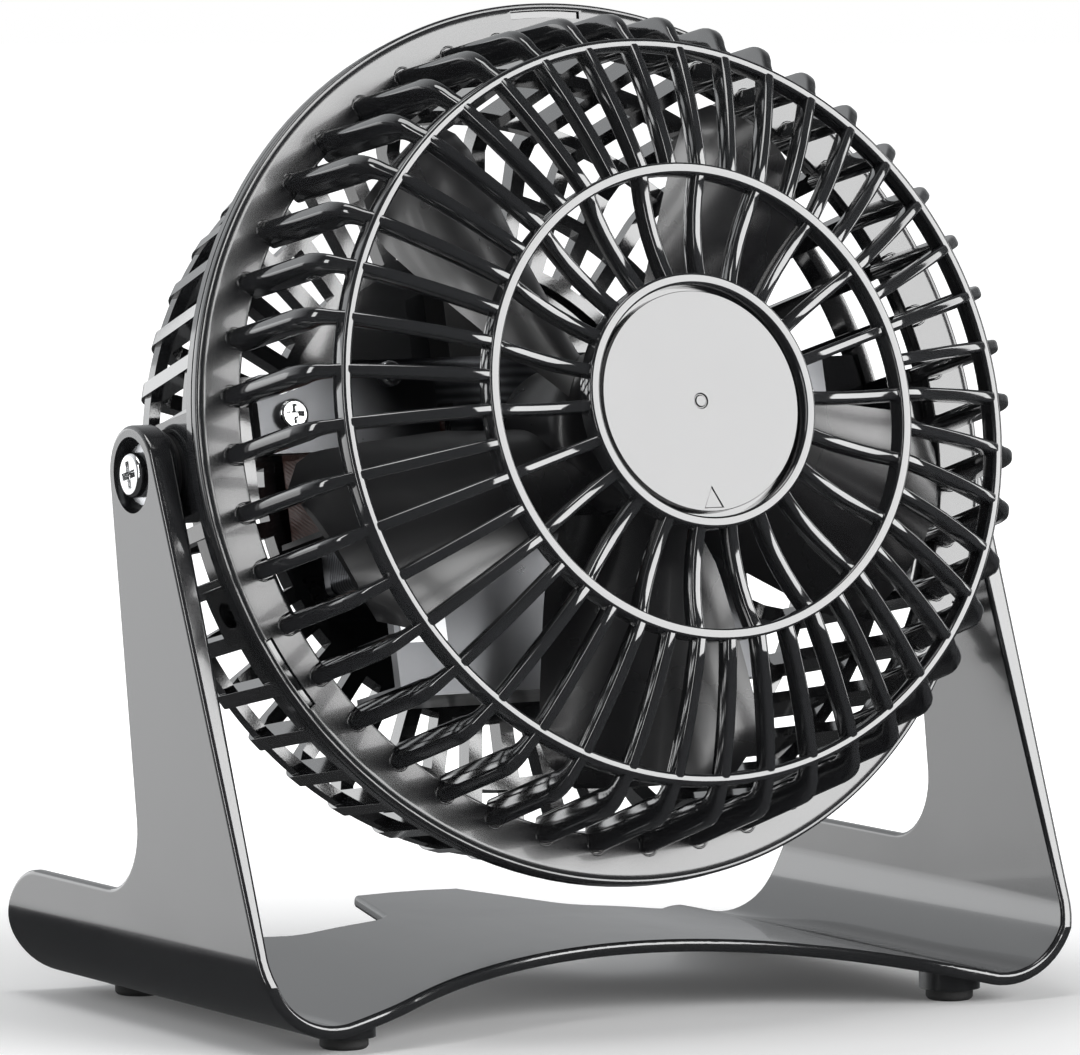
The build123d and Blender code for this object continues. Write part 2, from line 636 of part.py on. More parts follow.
def rear_rib_edges():
    """A rear rib's outline: back from the rim, round the corner, in to the hub plate."""
    start = RIB_ROOT_RADIUS - 0.3
    taper = (start - REAR_CORNER_RADIUS) / (REAR_RIM_BACK - REAR_FACE)
    bend_z = REAR_FACE + REAR_ROUND
    bend_r = REAR_CORNER_RADIUS + taper * REAR_ROUND
    turned_r = REAR_CORNER_RADIUS - REAR_ROUND
    third = REAR_ROUND * (1 - math.sqrt(0.5))
    corner = (REAR_CORNER_RADIUS - third, 0, REAR_FACE + third)
    end = HUB_PLATE_RADIUS - 1
    inner_face = REAR_FACE + RIB_DEPTH
    edges = [
        Line((start, 0, REAR_RIM_BACK), (bend_r, 0, bend_z)),
        ThreePointArc((bend_r, 0, bend_z), corner, (turned_r, 0, REAR_FACE)),
        Line((turned_r, 0, REAR_FACE), (end, 0, REAR_FACE)),
        Line((end, 0, REAR_FACE), (end, 0, inner_face)),
        Line((end, 0, inner_face), (turned_r, 0, inner_face)),
        Line((turned_r, 0, inner_face), (bend_r - RIB_DEPTH, 0, bend_z)),
        Line((bend_r - RIB_DEPTH, 0, bend_z), (start - RIB_DEPTH, 0, REAR_RIM_BACK)),
        Line((start - RIB_DEPTH, 0, REAR_RIM_BACK), (start, 0, REAR_RIM_BACK)),
    ]
    return [piece.edge() for piece in edges]


def rear_guard():
    """Rear half of the cage, with the pivot blocks and the seats of the motor bracket."""
    start = RIB_ROOT_RADIUS - 0.3
    taper = (start - REAR_CORNER_RADIUS) / (REAR_RIM_BACK - REAR_FACE)
    guard = annulus(RIM_RADIUS, RIM_INNER, REAR_RIM_BACK, REAR_RIM_FRONT)
    for back, length in ((WIDE_HOOP_BACK, WIDE_HOOP), (THIN_HOOP_BACK, THIN_HOOP)):
        outer = REAR_CORNER_RADIUS + taper * (back - REAR_FACE) - 0.6
        guard += annulus(outer, outer - HOOP_THICKNESS, back, back + length)
    guard += annulus(BACK_RING_RADIUS, BACK_RING_RADIUS - HOOP_THICKNESS, REAR_FACE, REAR_FACE + RIB_DEPTH)
    guard += disc(HUB_PLATE_RADIUS, REAR_FACE, REAR_FACE + HUB_PLATE)
    guard += annulus(HUB_PLATE_RADIUS, HUB_PLATE_RADIUS - HOOP_THICKNESS, REAR_FACE, REAR_FACE + RIB_DEPTH)
    rib = radial_rib(rear_rib_edges(), SIDE_BAR_WIDTH)
    ribs = [Rot(0, 0, i * STEP_ANGLE) * rib for i in range(RIB_COUNT)]
    guard = guard.fuse(*ribs)
    guard = guard.fuse(*[pivot_block(side) for side in (-1, 1)])
    guard = guard.fuse(*[boss_plate(side) for side in (-1, 1)])
    for side in (-1, 1):
        guard -= rod_x(PIVOT_HOLE_RADIUS, side * (BLOCK_INNER - 30), side * (BLOCK_OUTER + 5))
        guard -= nut_pocket(side)
        guard -= disc(1.4, -9, BRACKET_BACK + 1, side * STRAP_SCREW_X, STRAP_SCREW_Y)
        hole = rod_x(BOSS_PLATE_HOLE, REAR_CORNER_RADIUS - 8, RIM_RADIUS, z=boss_plate_station())
        guard -= Rot(0, 0, boss_plate_angle(side)) * hole
    for angle in SNAP_ANGLES:
        guard += snap_arc(SNAP_RADIUS, SNAP_WIDTH, SNAP_HALF_ANGLE, REAR_RIM_FRONT - 1, RIM_FRONT - 0.6, angle)
    guard -= vent_slots()
    switch_x, switch_y = SWITCH_CENTRE
    width, height = SWITCH_SIZE
    guard -= slab(
        switch_x - width / 2, switch_x + width / 2, switch_y - height / 2, switch_y + height / 2,
        REAR_FACE - 1, REAR_FACE + RIB_DEPTH,
    )
    guard -= disc(INLET_RADIUS, REAR_FACE - 1, REAR_FACE + RIB_DEPTH, *INLET_CENTRE)
    return guard


def boss_plate_station():
    """Station of the holes in the side plates, in the middle of the wide hoop."""
    return WIDE_HOOP_BACK + WIDE_HOOP


def boss_plate_angle(side):
    """Angle of a side plate, between the second and third ribs below the pivot."""
    below = 2.5 * STEP_ANGLE
    return 180 + below if side < 0 else -below


def boss_plate(side):
    """A short solid panel between two side bars, with a round hole."""
    radius = REAR_CORNER_RADIUS + 3.0
    half = STEP_ANGLE / 2
    plate = snap_arc(radius, 2 * HOOP_THICKNESS, half, WIDE_HOOP_BACK, REAR_RIM_BACK + 1, 0)
    return Rot(0, 0, boss_plate_angle(side)) * plate


def pivot_block(side):
    """The solid block behind the rim that takes the pivot screw and the bracket screw."""
    block = slab(BLOCK_INNER, BLOCK_OUTER, -BLOCK_HALF, BLOCK_HALF, 0, REAR_RIM_BACK + BLOCK_LAP)
    block += rod_x(BLOCK_HALF, BLOCK_INNER, BLOCK_OUTER)
    seat_inner = STRAP_SCREW_X - SEAT_REACH
    seat_outer = BLOCK_INNER + BLOCK_FUSE
    seat = slab(seat_inner, seat_outer, STRAP_LOW, BRACKET_TOP, SEAT_BACK, BRACKET_BACK)
    web_top = BRACKET_TOP - WEB_DROP
    web = slab(BLOCK_INNER - BLOCK_FUSE, REAR_CORNER_RADIUS, STRAP_LOW, web_top, SEAT_BACK, BRACKET_BACK)
    block = block + seat + web
    block = block & disc(RIM_RADIUS, -BLOCK_HALF, REAR_RIM_BACK + BLOCK_LAP)
    return block if side > 0 else mirror(block, about=Plane.YZ)


def nut_pocket(side):
    """Room for the captive nut, open towards the middle of the head."""
    hexagon = RegularPolygon(NUT_FLATS / 2 + NUT_SLACK, 6, major_radius=False)
    cut = Rot(0, 90, 0) * extrude(hexagon, NUT_THICKNESS + NUT_SLACK)
    cut = Pos(BLOCK_INNER, 0, 0) * cut
    return cut if side > 0 else mirror(cut, about=Plane.YZ)


def vent_slots():
    """Round-ended cooling slots in the hub plate."""
    slots = []
    for index in range(RIB_COUNT // 2):
        angle = (index + 0.5) * 2 * STEP_ANGLE
        slot = Pos(24, 0, REAR_FACE - 1) * extrude(SlotOverall(14, 3.2), HUB_PLATE + 2)
        away_from_switch = abs((angle - 90 + 180) % 360 - 180)
        away_from_inlet = abs((angle + 90 + 180) % 360 - 180)
        if away_from_switch > 20 and away_from_inlet > 12:
            slots.append(Rot(0, 0, angle) * slot)
    return group(slots)


# ---------------------------------------------------------------- pivots
def pivot_screw_place():
    """Plane at the washer's outer face with Z pointing out of the right arm."""
    seat = ARM_OUTER_TOP - RECESS_DEPTH + PIVOT_WASHER + 0.1
    return Pos(seat, 0, 0) * Rot(0, 90, 0)


def pivot_screws():
    """The two machine screws that the head turns on."""
    length = ARM_OUTER_TOP - RECESS_DEPTH + PIVOT_WASHER - BLOCK_INNER
    screw = pan_screw(PIVOT_HEAD_RADIUS, PIVOT_HEAD_HEIGHT, PIVOT_SCREW_DIAMETER / 2, length)
    return both_sides(pivot_screw_place() * screw)


def pivot_washers():
    """Flat washers in the arms' recesses; they stay with the stand."""
    floor = ARM_OUTER_TOP - RECESS_DEPTH
    washer = rod_x(PIVOT_WASHER_RADIUS, floor, floor + PIVOT_WASHER)
    washer -= rod_x(PIVOT_HOLE_RADIUS, floor - 1, floor + PIVOT_WASHER + 1)
    return both_sides(Pos(0, 0, PIVOT_HEIGHT) * washer)


def friction_washers():
    """Fibre washers between the head's blocks and the arms; they hold the tilt."""
    washer = rod_x(FRICTION_WASHER_RADIUS, BLOCK_OUTER, BLOCK_OUTER + FRICTION_WASHER)
    washer -= rod_x(PIVOT_HOLE_RADIUS, BLOCK_OUTER - 1, BLOCK_OUTER + FRICTION_WASHER + 1)
    return both_sides(washer)


def pivot_nuts():
    """Captive hexagon nuts behind the pivot blocks."""
    hexagon = RegularPolygon(NUT_FLATS / 2, 6, major_radius=False) - Circle(PIVOT_SCREW_DIAMETER / 2 + 0.02)
    nut = Pos(BLOCK_INNER + NUT_SLACK, 0, 0) * Rot(0, 90, 0) * extrude(hexagon, NUT_THICKNESS)
    return both_sides(nut)


# ---------------------------------------------------------------- motor
def motor_bracket():
    """Pressed U-shaped bracket: it carries the motor and bolts to the pivot blocks."""
    back = BRACKET_BACK
    front = BRACKET_FRONT
    right_half = [
        (BRACKET_HALF, BRACKET_BOTTOM),
        (BRACKET_HALF, STRAP_LOW),
        (STRAP_HALF_LENGTH, STRAP_LOW),
        (STRAP_HALF_LENGTH, BRACKET_TOP),
        (BRACKET_WINDOW, BRACKET_TOP),
        (BRACKET_WINDOW, BRACKET_SILL),
    ]
    left_half = [(-x, y) for x, y in reversed(right_half)]
    outline = Polygon(*right_half, *left_half, align=None)
    outline = fillet(outline.vertices(), BRACKET_CORNER)
    outline += Pos(0, BRACKET_SILL / 2) * Rectangle(2 * BOSS_RADIUS, -BRACKET_SILL + 1)
    outline += Circle(BOSS_RADIUS)
    plate = Pos(0, 0, back) * extrude(outline, BRACKET_PLATE)
    plate += slab(
        -BRACKET_HALF, BRACKET_HALF, BRACKET_BOTTOM, BRACKET_BOTTOM + BRACKET_PLATE,
        front - BRACKET_FLANGE, back + 0.5,
    )
    plate += disc(BEARING_RADIUS + 2.5, front - BEARING_LENGTH, back + 0.5)
    plate -= disc(BEARING_RADIUS, front - BEARING_LENGTH - 1, front + 1)
    for x, y in MOTOR_SCREWS:
        plate -= disc(MOTOR_SCREW_DIAMETER / 2 + 0.1, back - 1, front + 1, x, y)
    for side in (-1, 1):
        plate -= disc(2.1, back - 1, front + 1, side * STRAP_SCREW_X, STRAP_SCREW_Y)
        plate -= disc(2.1, back - 1, front + 1, side * 25.5, -25.7)
    return plate


def bracket_screws():
    """Two chromed screws that hold the bracket to the pivot blocks."""
    screw = pan_screw(3.4, 2.4, 1.35, 9.0)
    screw = Pos(STRAP_SCREW_X, STRAP_SCREW_Y, BRACKET_FRONT) * screw
    return both_sides(screw)


def rating_label():
    """A blank foil label on the bracket."""
    x, y = LABEL_CENTRE
    width, height = LABEL_SIZE
    front = BRACKET_FRONT
    return slab(x - width / 2, x + width / 2, y - height / 2, y + height / 2, front, front + 0.2)


def shading_ring_box(side, grow=0.0):
    """Outer block of one shading ring, round a pole tip."""
    y0 = ROTOR_RADIUS + AIR_GAP + 1.5
    block = slab(
        SHADING_LEFT - grow, SHADING_RIGHT + grow, y0 - grow, y0 + SHADING_DEPTH + grow,
        CORE_BACK - SHADING_WIRE - grow, CORE_FRONT + SHADING_WIRE + grow,
    )
    return Rot(0, 0, 0 if side > 0 else 180) * block


def shading_ring(side):
    """One copper ring: a frame round a slice of the pole."""
    wire = SHADING_WIRE
    frame = shading_ring_box(side)
    x0 = SHADING_LEFT + wire
    x1 = SHADING_RIGHT - wire
    middle = slab(x0, x1, 0, CORE_HALF_HEIGHT, CORE_BACK, CORE_FRONT)
    middle = Rot(0, 0, 0 if side > 0 else 180) * middle
    return frame - middle


def shading_rings():
    """Two copper rings let into slots in the poles."""
    return group([shading_ring(side) for side in (-1, 1)])


def stator_core():
    """The stack of laminations, with a window for the coil and a bore for the rotor."""
    core = slab(CORE_LEFT, CORE_RIGHT, -CORE_HALF_HEIGHT, CORE_HALF_HEIGHT, CORE_BACK, CORE_FRONT)
    core = fillet(core.edges().filter_by(Axis.Z), 3)
    core -= slab(
        CORE_WINDOW_LEFT, CORE_WINDOW_RIGHT, -CORE_WINDOW_HALF, CORE_WINDOW_HALF,
        CORE_BACK - 1, CORE_FRONT + 1,
    )
    core -= disc(ROTOR_RADIUS + AIR_GAP, CORE_BACK - 1, CORE_FRONT + 1)
    for side in (-1, 1):
        core -= shading_ring(side)
    for x, y in MOTOR_SCREWS:
        core -= disc(MOTOR_SCREW_DIAMETER / 2 + 0.1, CORE_BACK - 1, CORE_FRONT + 1, x, y)
    return core


def coil_block(grow, half_height):
    """A block round the wound leg, larger than it by the same amount on four sides."""
    return slab(
        CORE_LEFT - grow, CORE_WINDOW_LEFT + grow, -half_height, half_height,
        CORE_BACK - grow, CORE_FRONT + grow,
    )


def coil_bobbin():
    """Moulded former with a flange at each end."""
    half = CORE_WINDOW_HALF - 0.2
    tube = coil_block(BOBBIN_WALL, half)
    ends = coil_block(COIL_BUILD + BOBBIN_WALL, half) - coil_block(COIL_BUILD + BOBBIN_WALL + 1, half - FLANGE_WALL)
    return tube + ends - coil_block(0.1, half + 1)


def coil_winding():
    """The copper winding on the bobbin."""
    half = CORE_WINDOW_HALF - 0.2 - FLANGE_WALL
    outer = coil_block(COIL_BUILD, half)
    outer = fillet(outer.edges().filter_by(Axis.Y), 3)
    return outer - coil_block(BOBBIN_WALL, half + 1)


def rear_bearing_bracket():
    """Rear plate of the motor: two arms round the coil and a bearing boss."""
    back = REAR_BRACKET_BACK
    front = CORE_BACK
    plate = slab(CORE_LEFT, CORE_RIGHT, -CORE_HALF_HEIGHT, CORE_HALF_HEIGHT, back, front)
    window = CORE_WINDOW_HALF + 0.5
    plate -= slab(CORE_LEFT - 1, -BOSS_RADIUS, -window, window, back - 1, front + 1)
    plate = fillet(plate.edges().filter_by(Axis.Z), 2)
    plate += disc(BEARING_RADIUS + 2.5, back - BEARING_LENGTH + REAR_BRACKET_PLATE, back + 0.5)
    plate -= disc(BEARING_RADIUS, back - BEARING_LENGTH, front + 1)
    for side in (-1, 1):
        plate -= shading_ring_box(side, 0.3)
    for x, y in MOTOR_SCREWS:
        plate -= disc(MOTOR_SCREW_DIAMETER / 2 + 0.1, back - 1, front + 1, x, y)
    return plate


def bearing(front):
    """A sintered bush round the shaft."""
    return annulus(BEARING_RADIUS, SHAFT_DIAMETER / 2 + RUNNING_CLEARANCE, front - BEARING_LENGTH, front)


def front_bearing():
    """Bush in the motor bracket."""
    return bearing(BRACKET_FRONT)


def rear_bearing():
    """Bush in the rear plate."""
    return bearing(CORE_BACK)


def motor_spacers():
    """Sleeves that hold the laminations off the bracket."""
    tubes = []
    for x, y in MOTOR_SCREWS:
        tube = annulus(MOTOR_SCREW_DIAMETER, MOTOR_SCREW_DIAMETER / 2 + 0.1, CORE_FRONT, BRACKET_BACK)
        tubes.append(Pos(x, y, 0) * tube)
    return group(tubes)


def motor_screws():
    """Three long screws through bracket, spacers, laminations and rear plate."""
    length = BRACKET_FRONT - REAR_BRACKET_BACK + 3.4
    screw = pan_screw(2.8, 2.0, MOTOR_SCREW_DIAMETER / 2, length)
    return group([Pos(x, y, BRACKET_FRONT) * screw for x, y in MOTOR_SCREWS])


def motor_nuts():
    """Nuts on the long screws."""
    hexagon = RegularPolygon(2.75, 6, major_radius=False) - Circle(MOTOR_SCREW_DIAMETER / 2 + 0.02)
    nut = extrude(hexagon, 2.4)
    return group([Pos(x, y, REAR_BRACKET_BACK - 2.4) * nut for x, y in MOTOR_SCREWS])


def rotor():
    """Squirrel-cage rotor on the shaft."""
    body = annulus(ROTOR_RADIUS, SHAFT_DIAMETER / 2, ROTOR_BACK, ROTOR_FRONT)
    return fillet(body.edges().filter_by(GeomType.CIRCLE).group_by(SortBy.RADIUS)[-1], 0.8)


def shaft():
    """Ground steel shaft with a retaining groove near its front end."""
    bar = disc(SHAFT_DIAMETER / 2, SHAFT_REAR, SHAFT_FRONT)
    return chamfer(bar.edges().filter_by(GeomType.CIRCLE), 0.4)


def thrust_washers():
    """Nylon washers on the shaft, one each side of the rotor."""
    bore = SHAFT_DIAMETER / 2
    front = annulus(THRUST_RADIUS, bore, ROTOR_FRONT, BRACKET_FRONT - BEARING_LENGTH - END_FLOAT)
    rear = annulus(THRUST_RADIUS, bore, CORE_BACK + END_FLOAT, ROTOR_BACK)
    return group([front, rear])


# ---------------------------------------------------------------- impeller
def blade_section(radius, chord, pitch, camber):
    """A thin curved section standing at a radius, seen along the radius."""
    half = chord / 2
    upper = ThreePointArc((-half, 0), (0, camber + BLADE_THICKNESS), (half, 0))
    lower = ThreePointArc((half, 0), (0, camber), (-half, 0))
    face = Face(Wire([upper.edge(), lower.edge()]))
    plane = Plane(origin=(radius, 0, BLADE_CENTRE), x_dir=(0, 1, 0), z_dir=(1, 0, 0))
    return plane * Rot(0, 0, pitch) * face


def impeller():
    """Moulded impeller: a cup hub with curved, twisted blades."""
    hub = disc(IMPELLER_HUB_RADIUS, IMPELLER_BACK, IMPELLER_FRONT)
    hub = fillet(hub.edges().sort_by(Axis.Z)[-1], HUB_SOFT)
    hub -= disc(IMPELLER_HUB_RADIUS - IMPELLER_WALL, IMPELLER_BACK - CUT_OVER, IMPELLER_FRONT - HUB_CROWN)
    hub += disc(SHAFT_SOCKET_RADIUS, IMPELLER_BACK + SHAFT_SOCKET_INSET, IMPELLER_FRONT - IMPELLER_WALL)
    reach = BLADE_TIP - IMPELLER_HUB_RADIUS
    stations = [(IMPELLER_HUB_RADIUS - BLADE_SINK, *BLADE_ROOT)]
    stations += [(IMPELLER_HUB_RADIUS + share * reach, *shape) for share, *shape in BLADE_SHAPES]
    sections = [blade_section(*station) for station in stations]
    blade = loft(sections)
    run_back = IMPELLER_BACK - BLADE_RUN_BACK
    run_front = SHAFT_FRONT + BLADE_RUN_FRONT
    blade = blade & annulus(BLADE_TIP, IMPELLER_HUB_RADIUS - BLADE_TRIM, run_back, run_front)
    blades = [Rot(0, 0, index * 360 / BLADE_COUNT + BLADE_TURN) * blade for index in range(BLADE_COUNT)]
    wheel = hub.fuse(*blades)
    return wheel - disc(SHAFT_DIAMETER / 2, IMPELLER_BACK - CUT_OVER, IMPELLER_FRONT + CUT_OVER)


def impeller_nut():
    """Moulded spinner nut that holds the impeller on the shaft."""
    cap = disc(SPINNER_RADIUS, IMPELLER_FRONT, SHAFT_FRONT + SPINNER_CAP)
    cap = fillet(cap.edges().sort_by(Axis.Z)[-1], SPINNER_SOFT)
    return cap - disc(SHAFT_DIAMETER / 2, IMPELLER_FRONT - CUT_OVER, SHAFT_FRONT)


# ---------------------------------------------------------------- switch and inlet
def switch_place():
    """Middle of the switch opening, on the rear face of the hub plate."""
    return Pos(SWITCH_CENTRE[0], SWITCH_CENTRE[1], REAR_FACE)


def switch_housing():
    """Snap-in switch body with a bezel on the outside."""
    width, height = SWITCH_SIZE
    body_x = width / 2 - SWITCH_FIT
    body_y = height / 2 - SWITCH_FIT
    body = slab(-body_x, body_x, -body_y, body_y, 0, SWITCH_DEPTH)
    bezel_x = width / 2 + BEZEL_LIP
    bezel_y = height / 2 + BEZEL_LIP
    bezel = slab(-bezel_x, bezel_x, -bezel_y, bezel_y, -SWITCH_BEZEL, 0)
    bezel = fillet(bezel.edges().filter_by(Axis.Z), BEZEL_LIP)
    well_x = width / 2 - 1.4
    well_y = height / 2 - 1.2
    well = slab(-well_x, well_x, -well_y, well_y, -SWITCH_BEZEL - 1, 6.0)
    pin_hole = rod_x(ROCKER_PIN_RADIUS + 0.05, -width / 2 + 0.5, width / 2 - 0.5, z=1.5)
    return switch_place() * (body + bezel - well - pin_hole)


def switch_rocker():
    """The rocker, resting in its off position."""
    width, height = SWITCH_SIZE
    half = width / 2 - 1.7
    reach = height / 2 - 1.9
    outline = Polygon(
        (-reach, -2.0), (0, -0.9), (reach, -2.0), (reach - 0.6, 1.4),
        (2.2, 3.2), (-2.2, 3.2), (-reach + 0.6, 1.4),
        align=None,
    )
    body = extrude(Plane.YZ * outline, half, both=True)
    body = Pos(0, 0, -1.5) * body
    pins = rod_x(ROCKER_PIN_RADIUS, -half - 0.7, half + 0.7)
    rocker = Rot(ROCKER_TILT, 0, 0) * (body + pins)
    return switch_place() * Pos(0, 0, 1.5) * rocker


def cord_inlet():
    """Moulded bush that lines the hole for the mains lead."""
    bush = annulus(INLET_RADIUS, INLET_BORE, REAR_FACE, REAR_FACE + HUB_PLATE + INLET_PROUD)
    bush += annulus(INLET_RADIUS + INLET_LIP, INLET_BORE, REAR_FACE - INLET_COLLAR, REAR_FACE)
    return Pos(*INLET_CENTRE, 0) * bush


# ---------------------------------------------------------------- export
STAND_PARTS = {
    "stand": stand,
    "rubber_feet": rubber_feet,
    "pivot_washers": pivot_washers,
}

HEAD_PARTS = {
    "front_guard": front_guard,
    "front_badge": front_badge,
    "rear_guard": rear_guard,
    "pivot_screws": pivot_screws,
    "friction_washers": friction_washers,
    "pivot_nuts": pivot_nuts,
    "motor_bracket": motor_bracket,
    "bracket_screws": bracket_screws,
    "rating_label": rating_label,
    "stator_core": stator_core,
    "shading_rings": shading_rings,
    "coil_bobbin": coil_bobbin,
    "coil_winding": coil_winding,
    "rear_bearing_bracket": rear_bearing_bracket,
    "front_bearing": front_bearing,
    "rear_bearing": rear_bearing,
    "motor_spacers": motor_spacers,
    "motor_screws": motor_screws,
    "motor_nuts": motor_nuts,
    "rotor": rotor,
    "shaft": shaft,
    "thrust_washers": thrust_washers,
    "impeller": impeller,
    "impeller_nut": impeller_nut,
    "switch_housing": switch_housing,
    "switch_rocker": switch_rocker,
    "cord_inlet": cord_inlet,
}

os.makedirs("parts", exist_ok=True)
for name, make in STAND_PARTS.items():
    export_step(placed(STAND_FRAME, make()), f"parts/{name}.step")
for name, make in HEAD_PARTS.items():
    export_step(placed(HEAD_FRAME, make()), f"parts/{name}.step")
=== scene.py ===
import json
import math

import bmesh
import bpy
from bpy.props import FloatProperty, FloatVectorProperty, IntProperty, PointerProperty
from mathutils import Matrix, Vector


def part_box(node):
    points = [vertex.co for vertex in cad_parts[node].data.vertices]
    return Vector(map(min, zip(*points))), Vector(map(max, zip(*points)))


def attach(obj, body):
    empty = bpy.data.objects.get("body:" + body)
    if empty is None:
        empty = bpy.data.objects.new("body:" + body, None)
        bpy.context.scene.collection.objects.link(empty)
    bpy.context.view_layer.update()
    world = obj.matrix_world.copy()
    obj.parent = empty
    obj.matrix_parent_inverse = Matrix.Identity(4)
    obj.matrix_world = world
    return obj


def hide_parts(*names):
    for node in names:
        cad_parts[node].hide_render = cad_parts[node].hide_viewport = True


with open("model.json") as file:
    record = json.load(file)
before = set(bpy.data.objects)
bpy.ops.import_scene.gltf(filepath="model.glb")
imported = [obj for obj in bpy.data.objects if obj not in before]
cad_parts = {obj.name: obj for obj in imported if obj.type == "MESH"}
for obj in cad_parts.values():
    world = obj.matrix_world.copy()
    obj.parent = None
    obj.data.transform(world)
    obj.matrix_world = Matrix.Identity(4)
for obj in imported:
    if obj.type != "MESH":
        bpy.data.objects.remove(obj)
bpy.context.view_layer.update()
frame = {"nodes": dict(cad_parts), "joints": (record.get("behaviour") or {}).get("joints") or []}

bl_info = {
    "name": "Tilting desk fan",
    "version": (1, 0, 0),
    "blender": (4, 5, 0),
    "location": "View3D > Sidebar > Desk fan",
    "description": "Builds the moulded, metal and rubber pieces of a small tilting desk fan",
    "category": "Add Mesh",
}

# ------------------------------------------------------------------ places
JOINTS = {joint["name"]: joint for joint in frame["joints"]}
PIVOT = Vector(JOINTS["head_tilt"]["pos_m"])
FORWARD = Vector(JOINTS["impeller_spin"]["axis"]).normalized()
ACROSS = Vector((1.0, 0.0, 0.0))
UPWARD = FORWARD.cross(ACROSS)
HEAD = Matrix.Translation(PIVOT) @ Matrix((ACROSS, UPWARD, FORWARD)).transposed().to_4x4()
MM = 0.001


def length(name, default, description):
    """A size in metres that shows in the sidebar."""
    return FloatProperty(
        name=name, description=description, default=default, min=0.0, unit="LENGTH", subtype="DISTANCE"
    )


def colour(name, default, description):
    """A surface colour that shows in the sidebar."""
    return FloatVectorProperty(
        name=name, description=description, default=default, size=3, min=0.0, max=1.0, subtype="COLOR"
    )


class CageSizes(bpy.types.PropertyGroup):
    """Sizes of the two cage halves, in the head's own frame"""

    ribs: IntProperty(name="Ribs", description="Bars round each half of the cage", default=44, min=8)
    rim_radius: length("Rim radius", 95.0 * MM, "Outside of the flange")
    rim_inner: length("Rim inside", 84.8 * MM, "Inner edge of the flange")
    rim_front: length("Rim front", 20.6 * MM, "Front face of the flange, ahead of the pivot")
    rim_thickness: length("Rim thickness", 2.3 * MM, "Thickness of the front flange")
    root_radius: length("Root radius", 88.7 * MM, "Where a bar leaves the flange")
    shoulder_radius: length("Shoulder radius", 86.3 * MM, "Widest point of the shoulder")
    shoulder_station: length("Shoulder station", 50.6 * MM, "How far forward the shoulder is")
    front_ring: length("Front ring radius", 79.2 * MM, "Outside of the ring at the shoulder")
    front_station: length("Front ring station", 55.4 * MM, "How far forward that ring is")
    mid_ring: length("Middle ring radius", 50.4 * MM, "Outside of the ring half way in")
    mid_station: length("Middle ring station", 65.5 * MM, "How far forward that ring is")
    cap_ring: length("Cap ring radius", 26.9 * MM, "Outside of the cap")
    ring_width: length("Ring width", 2.3 * MM, "Width of a ring seen from the front")
    ring_depth: length("Ring depth", 5.0 * MM, "Depth of a ring along the air flow")
    rib_width: length("Rib width", 2.4 * MM, "Width of a face rib")
    rib_depth: length("Rib depth", 4.6 * MM, "Depth of a face rib")
    bar_scale: FloatProperty(
        name="Side bar scale", description="Side bar width over face rib width", default=1.36, min=1.0
    )


class FanFinishes(bpy.types.PropertyGroup):
    """Colours of the fan's materials"""

    shell: colour("Shell", (0.012, 0.0125, 0.0135), "Glossy moulded plastic of the stand and cage")
    blades: colour("Blades", (0.008, 0.008, 0.009), "Plastic of the impeller")
    copper: colour("Copper", (0.09, 0.022, 0.01), "Enamelled winding wire")
    nylon: colour("Nylon", (0.62, 0.6, 0.54), "Unpainted nylon pieces")
    rubber: colour("Rubber", (0.012, 0.012, 0.012), "Feet")


# ------------------------------------------------------------------ materials
def add_node(tree, kind, inputs=None, **settings):
    """A node with its settings made and its inputs linked or filled in."""
    node = tree.nodes.new(kind)
    for name, value in settings.items():
        setattr(node, name, value)
    for key, value in (inputs or {}).items():
        if isinstance(value, bpy.types.NodeSocket):
            tree.links.new(value, node.inputs[key])
        else:
            node.inputs[key].default_value = value
    return node


def new_material(name):
    """An empty material with a surface shader, its tree and the object's own coordinates."""
    material = bpy.data.materials.new(name)
    material.use_nodes = True
    tree = material.node_tree
    shader = tree.nodes["Principled BSDF"]
    place = add_node(tree, "ShaderNodeTexCoord").outputs["Object"]
    return material, tree, shader, place


def noise(tree, place, scale, detail=2.0, roughness=0.5):
    """Fine cloudy variation at a scale in features per metre."""
    return add_node(
        tree,
        "ShaderNodeTexNoise",
        {"Vector": place, "Scale": scale, "Detail": detail, "Roughness": roughness},
    ).outputs["Fac"]


def math_node(tree, operation, *values):
    """One sum in a node tree."""
    return add_node(tree, "ShaderNodeMath", dict(enumerate(values)), operation=operation).outputs[0]


def spread(tree, value, low, high, start=0.3, end=0.7):
    """A value carried from one range to another."""
    return add_node(
        tree,
        "ShaderNodeMapRange",
        {"Value": value, "From Min": start, "From Max": end, "To Min": low, "To Max": high},
    ).outputs["Result"]


def shade_mix(tree, share, dark, light):
    """A colour between two, by a share."""
    ramp = add_node(tree, "ShaderNodeValToRGB", {"Fac": share})
    ramp.color_ramp.elements[0].color = (*dark, 1.0)
    ramp.color_ramp.elements[1].color = (*light, 1.0)
    return ramp.outputs["Color"]


def relief(tree, height, distance, under=None, strength=1.0):
    """A bump of a real height, laid over another one."""
    inputs = {"Height": height, "Distance": distance, "Strength": strength}
    if under is not None:
        inputs["Normal"] = under
    return add_node(tree, "ShaderNodeBump", inputs).outputs["Normal"]


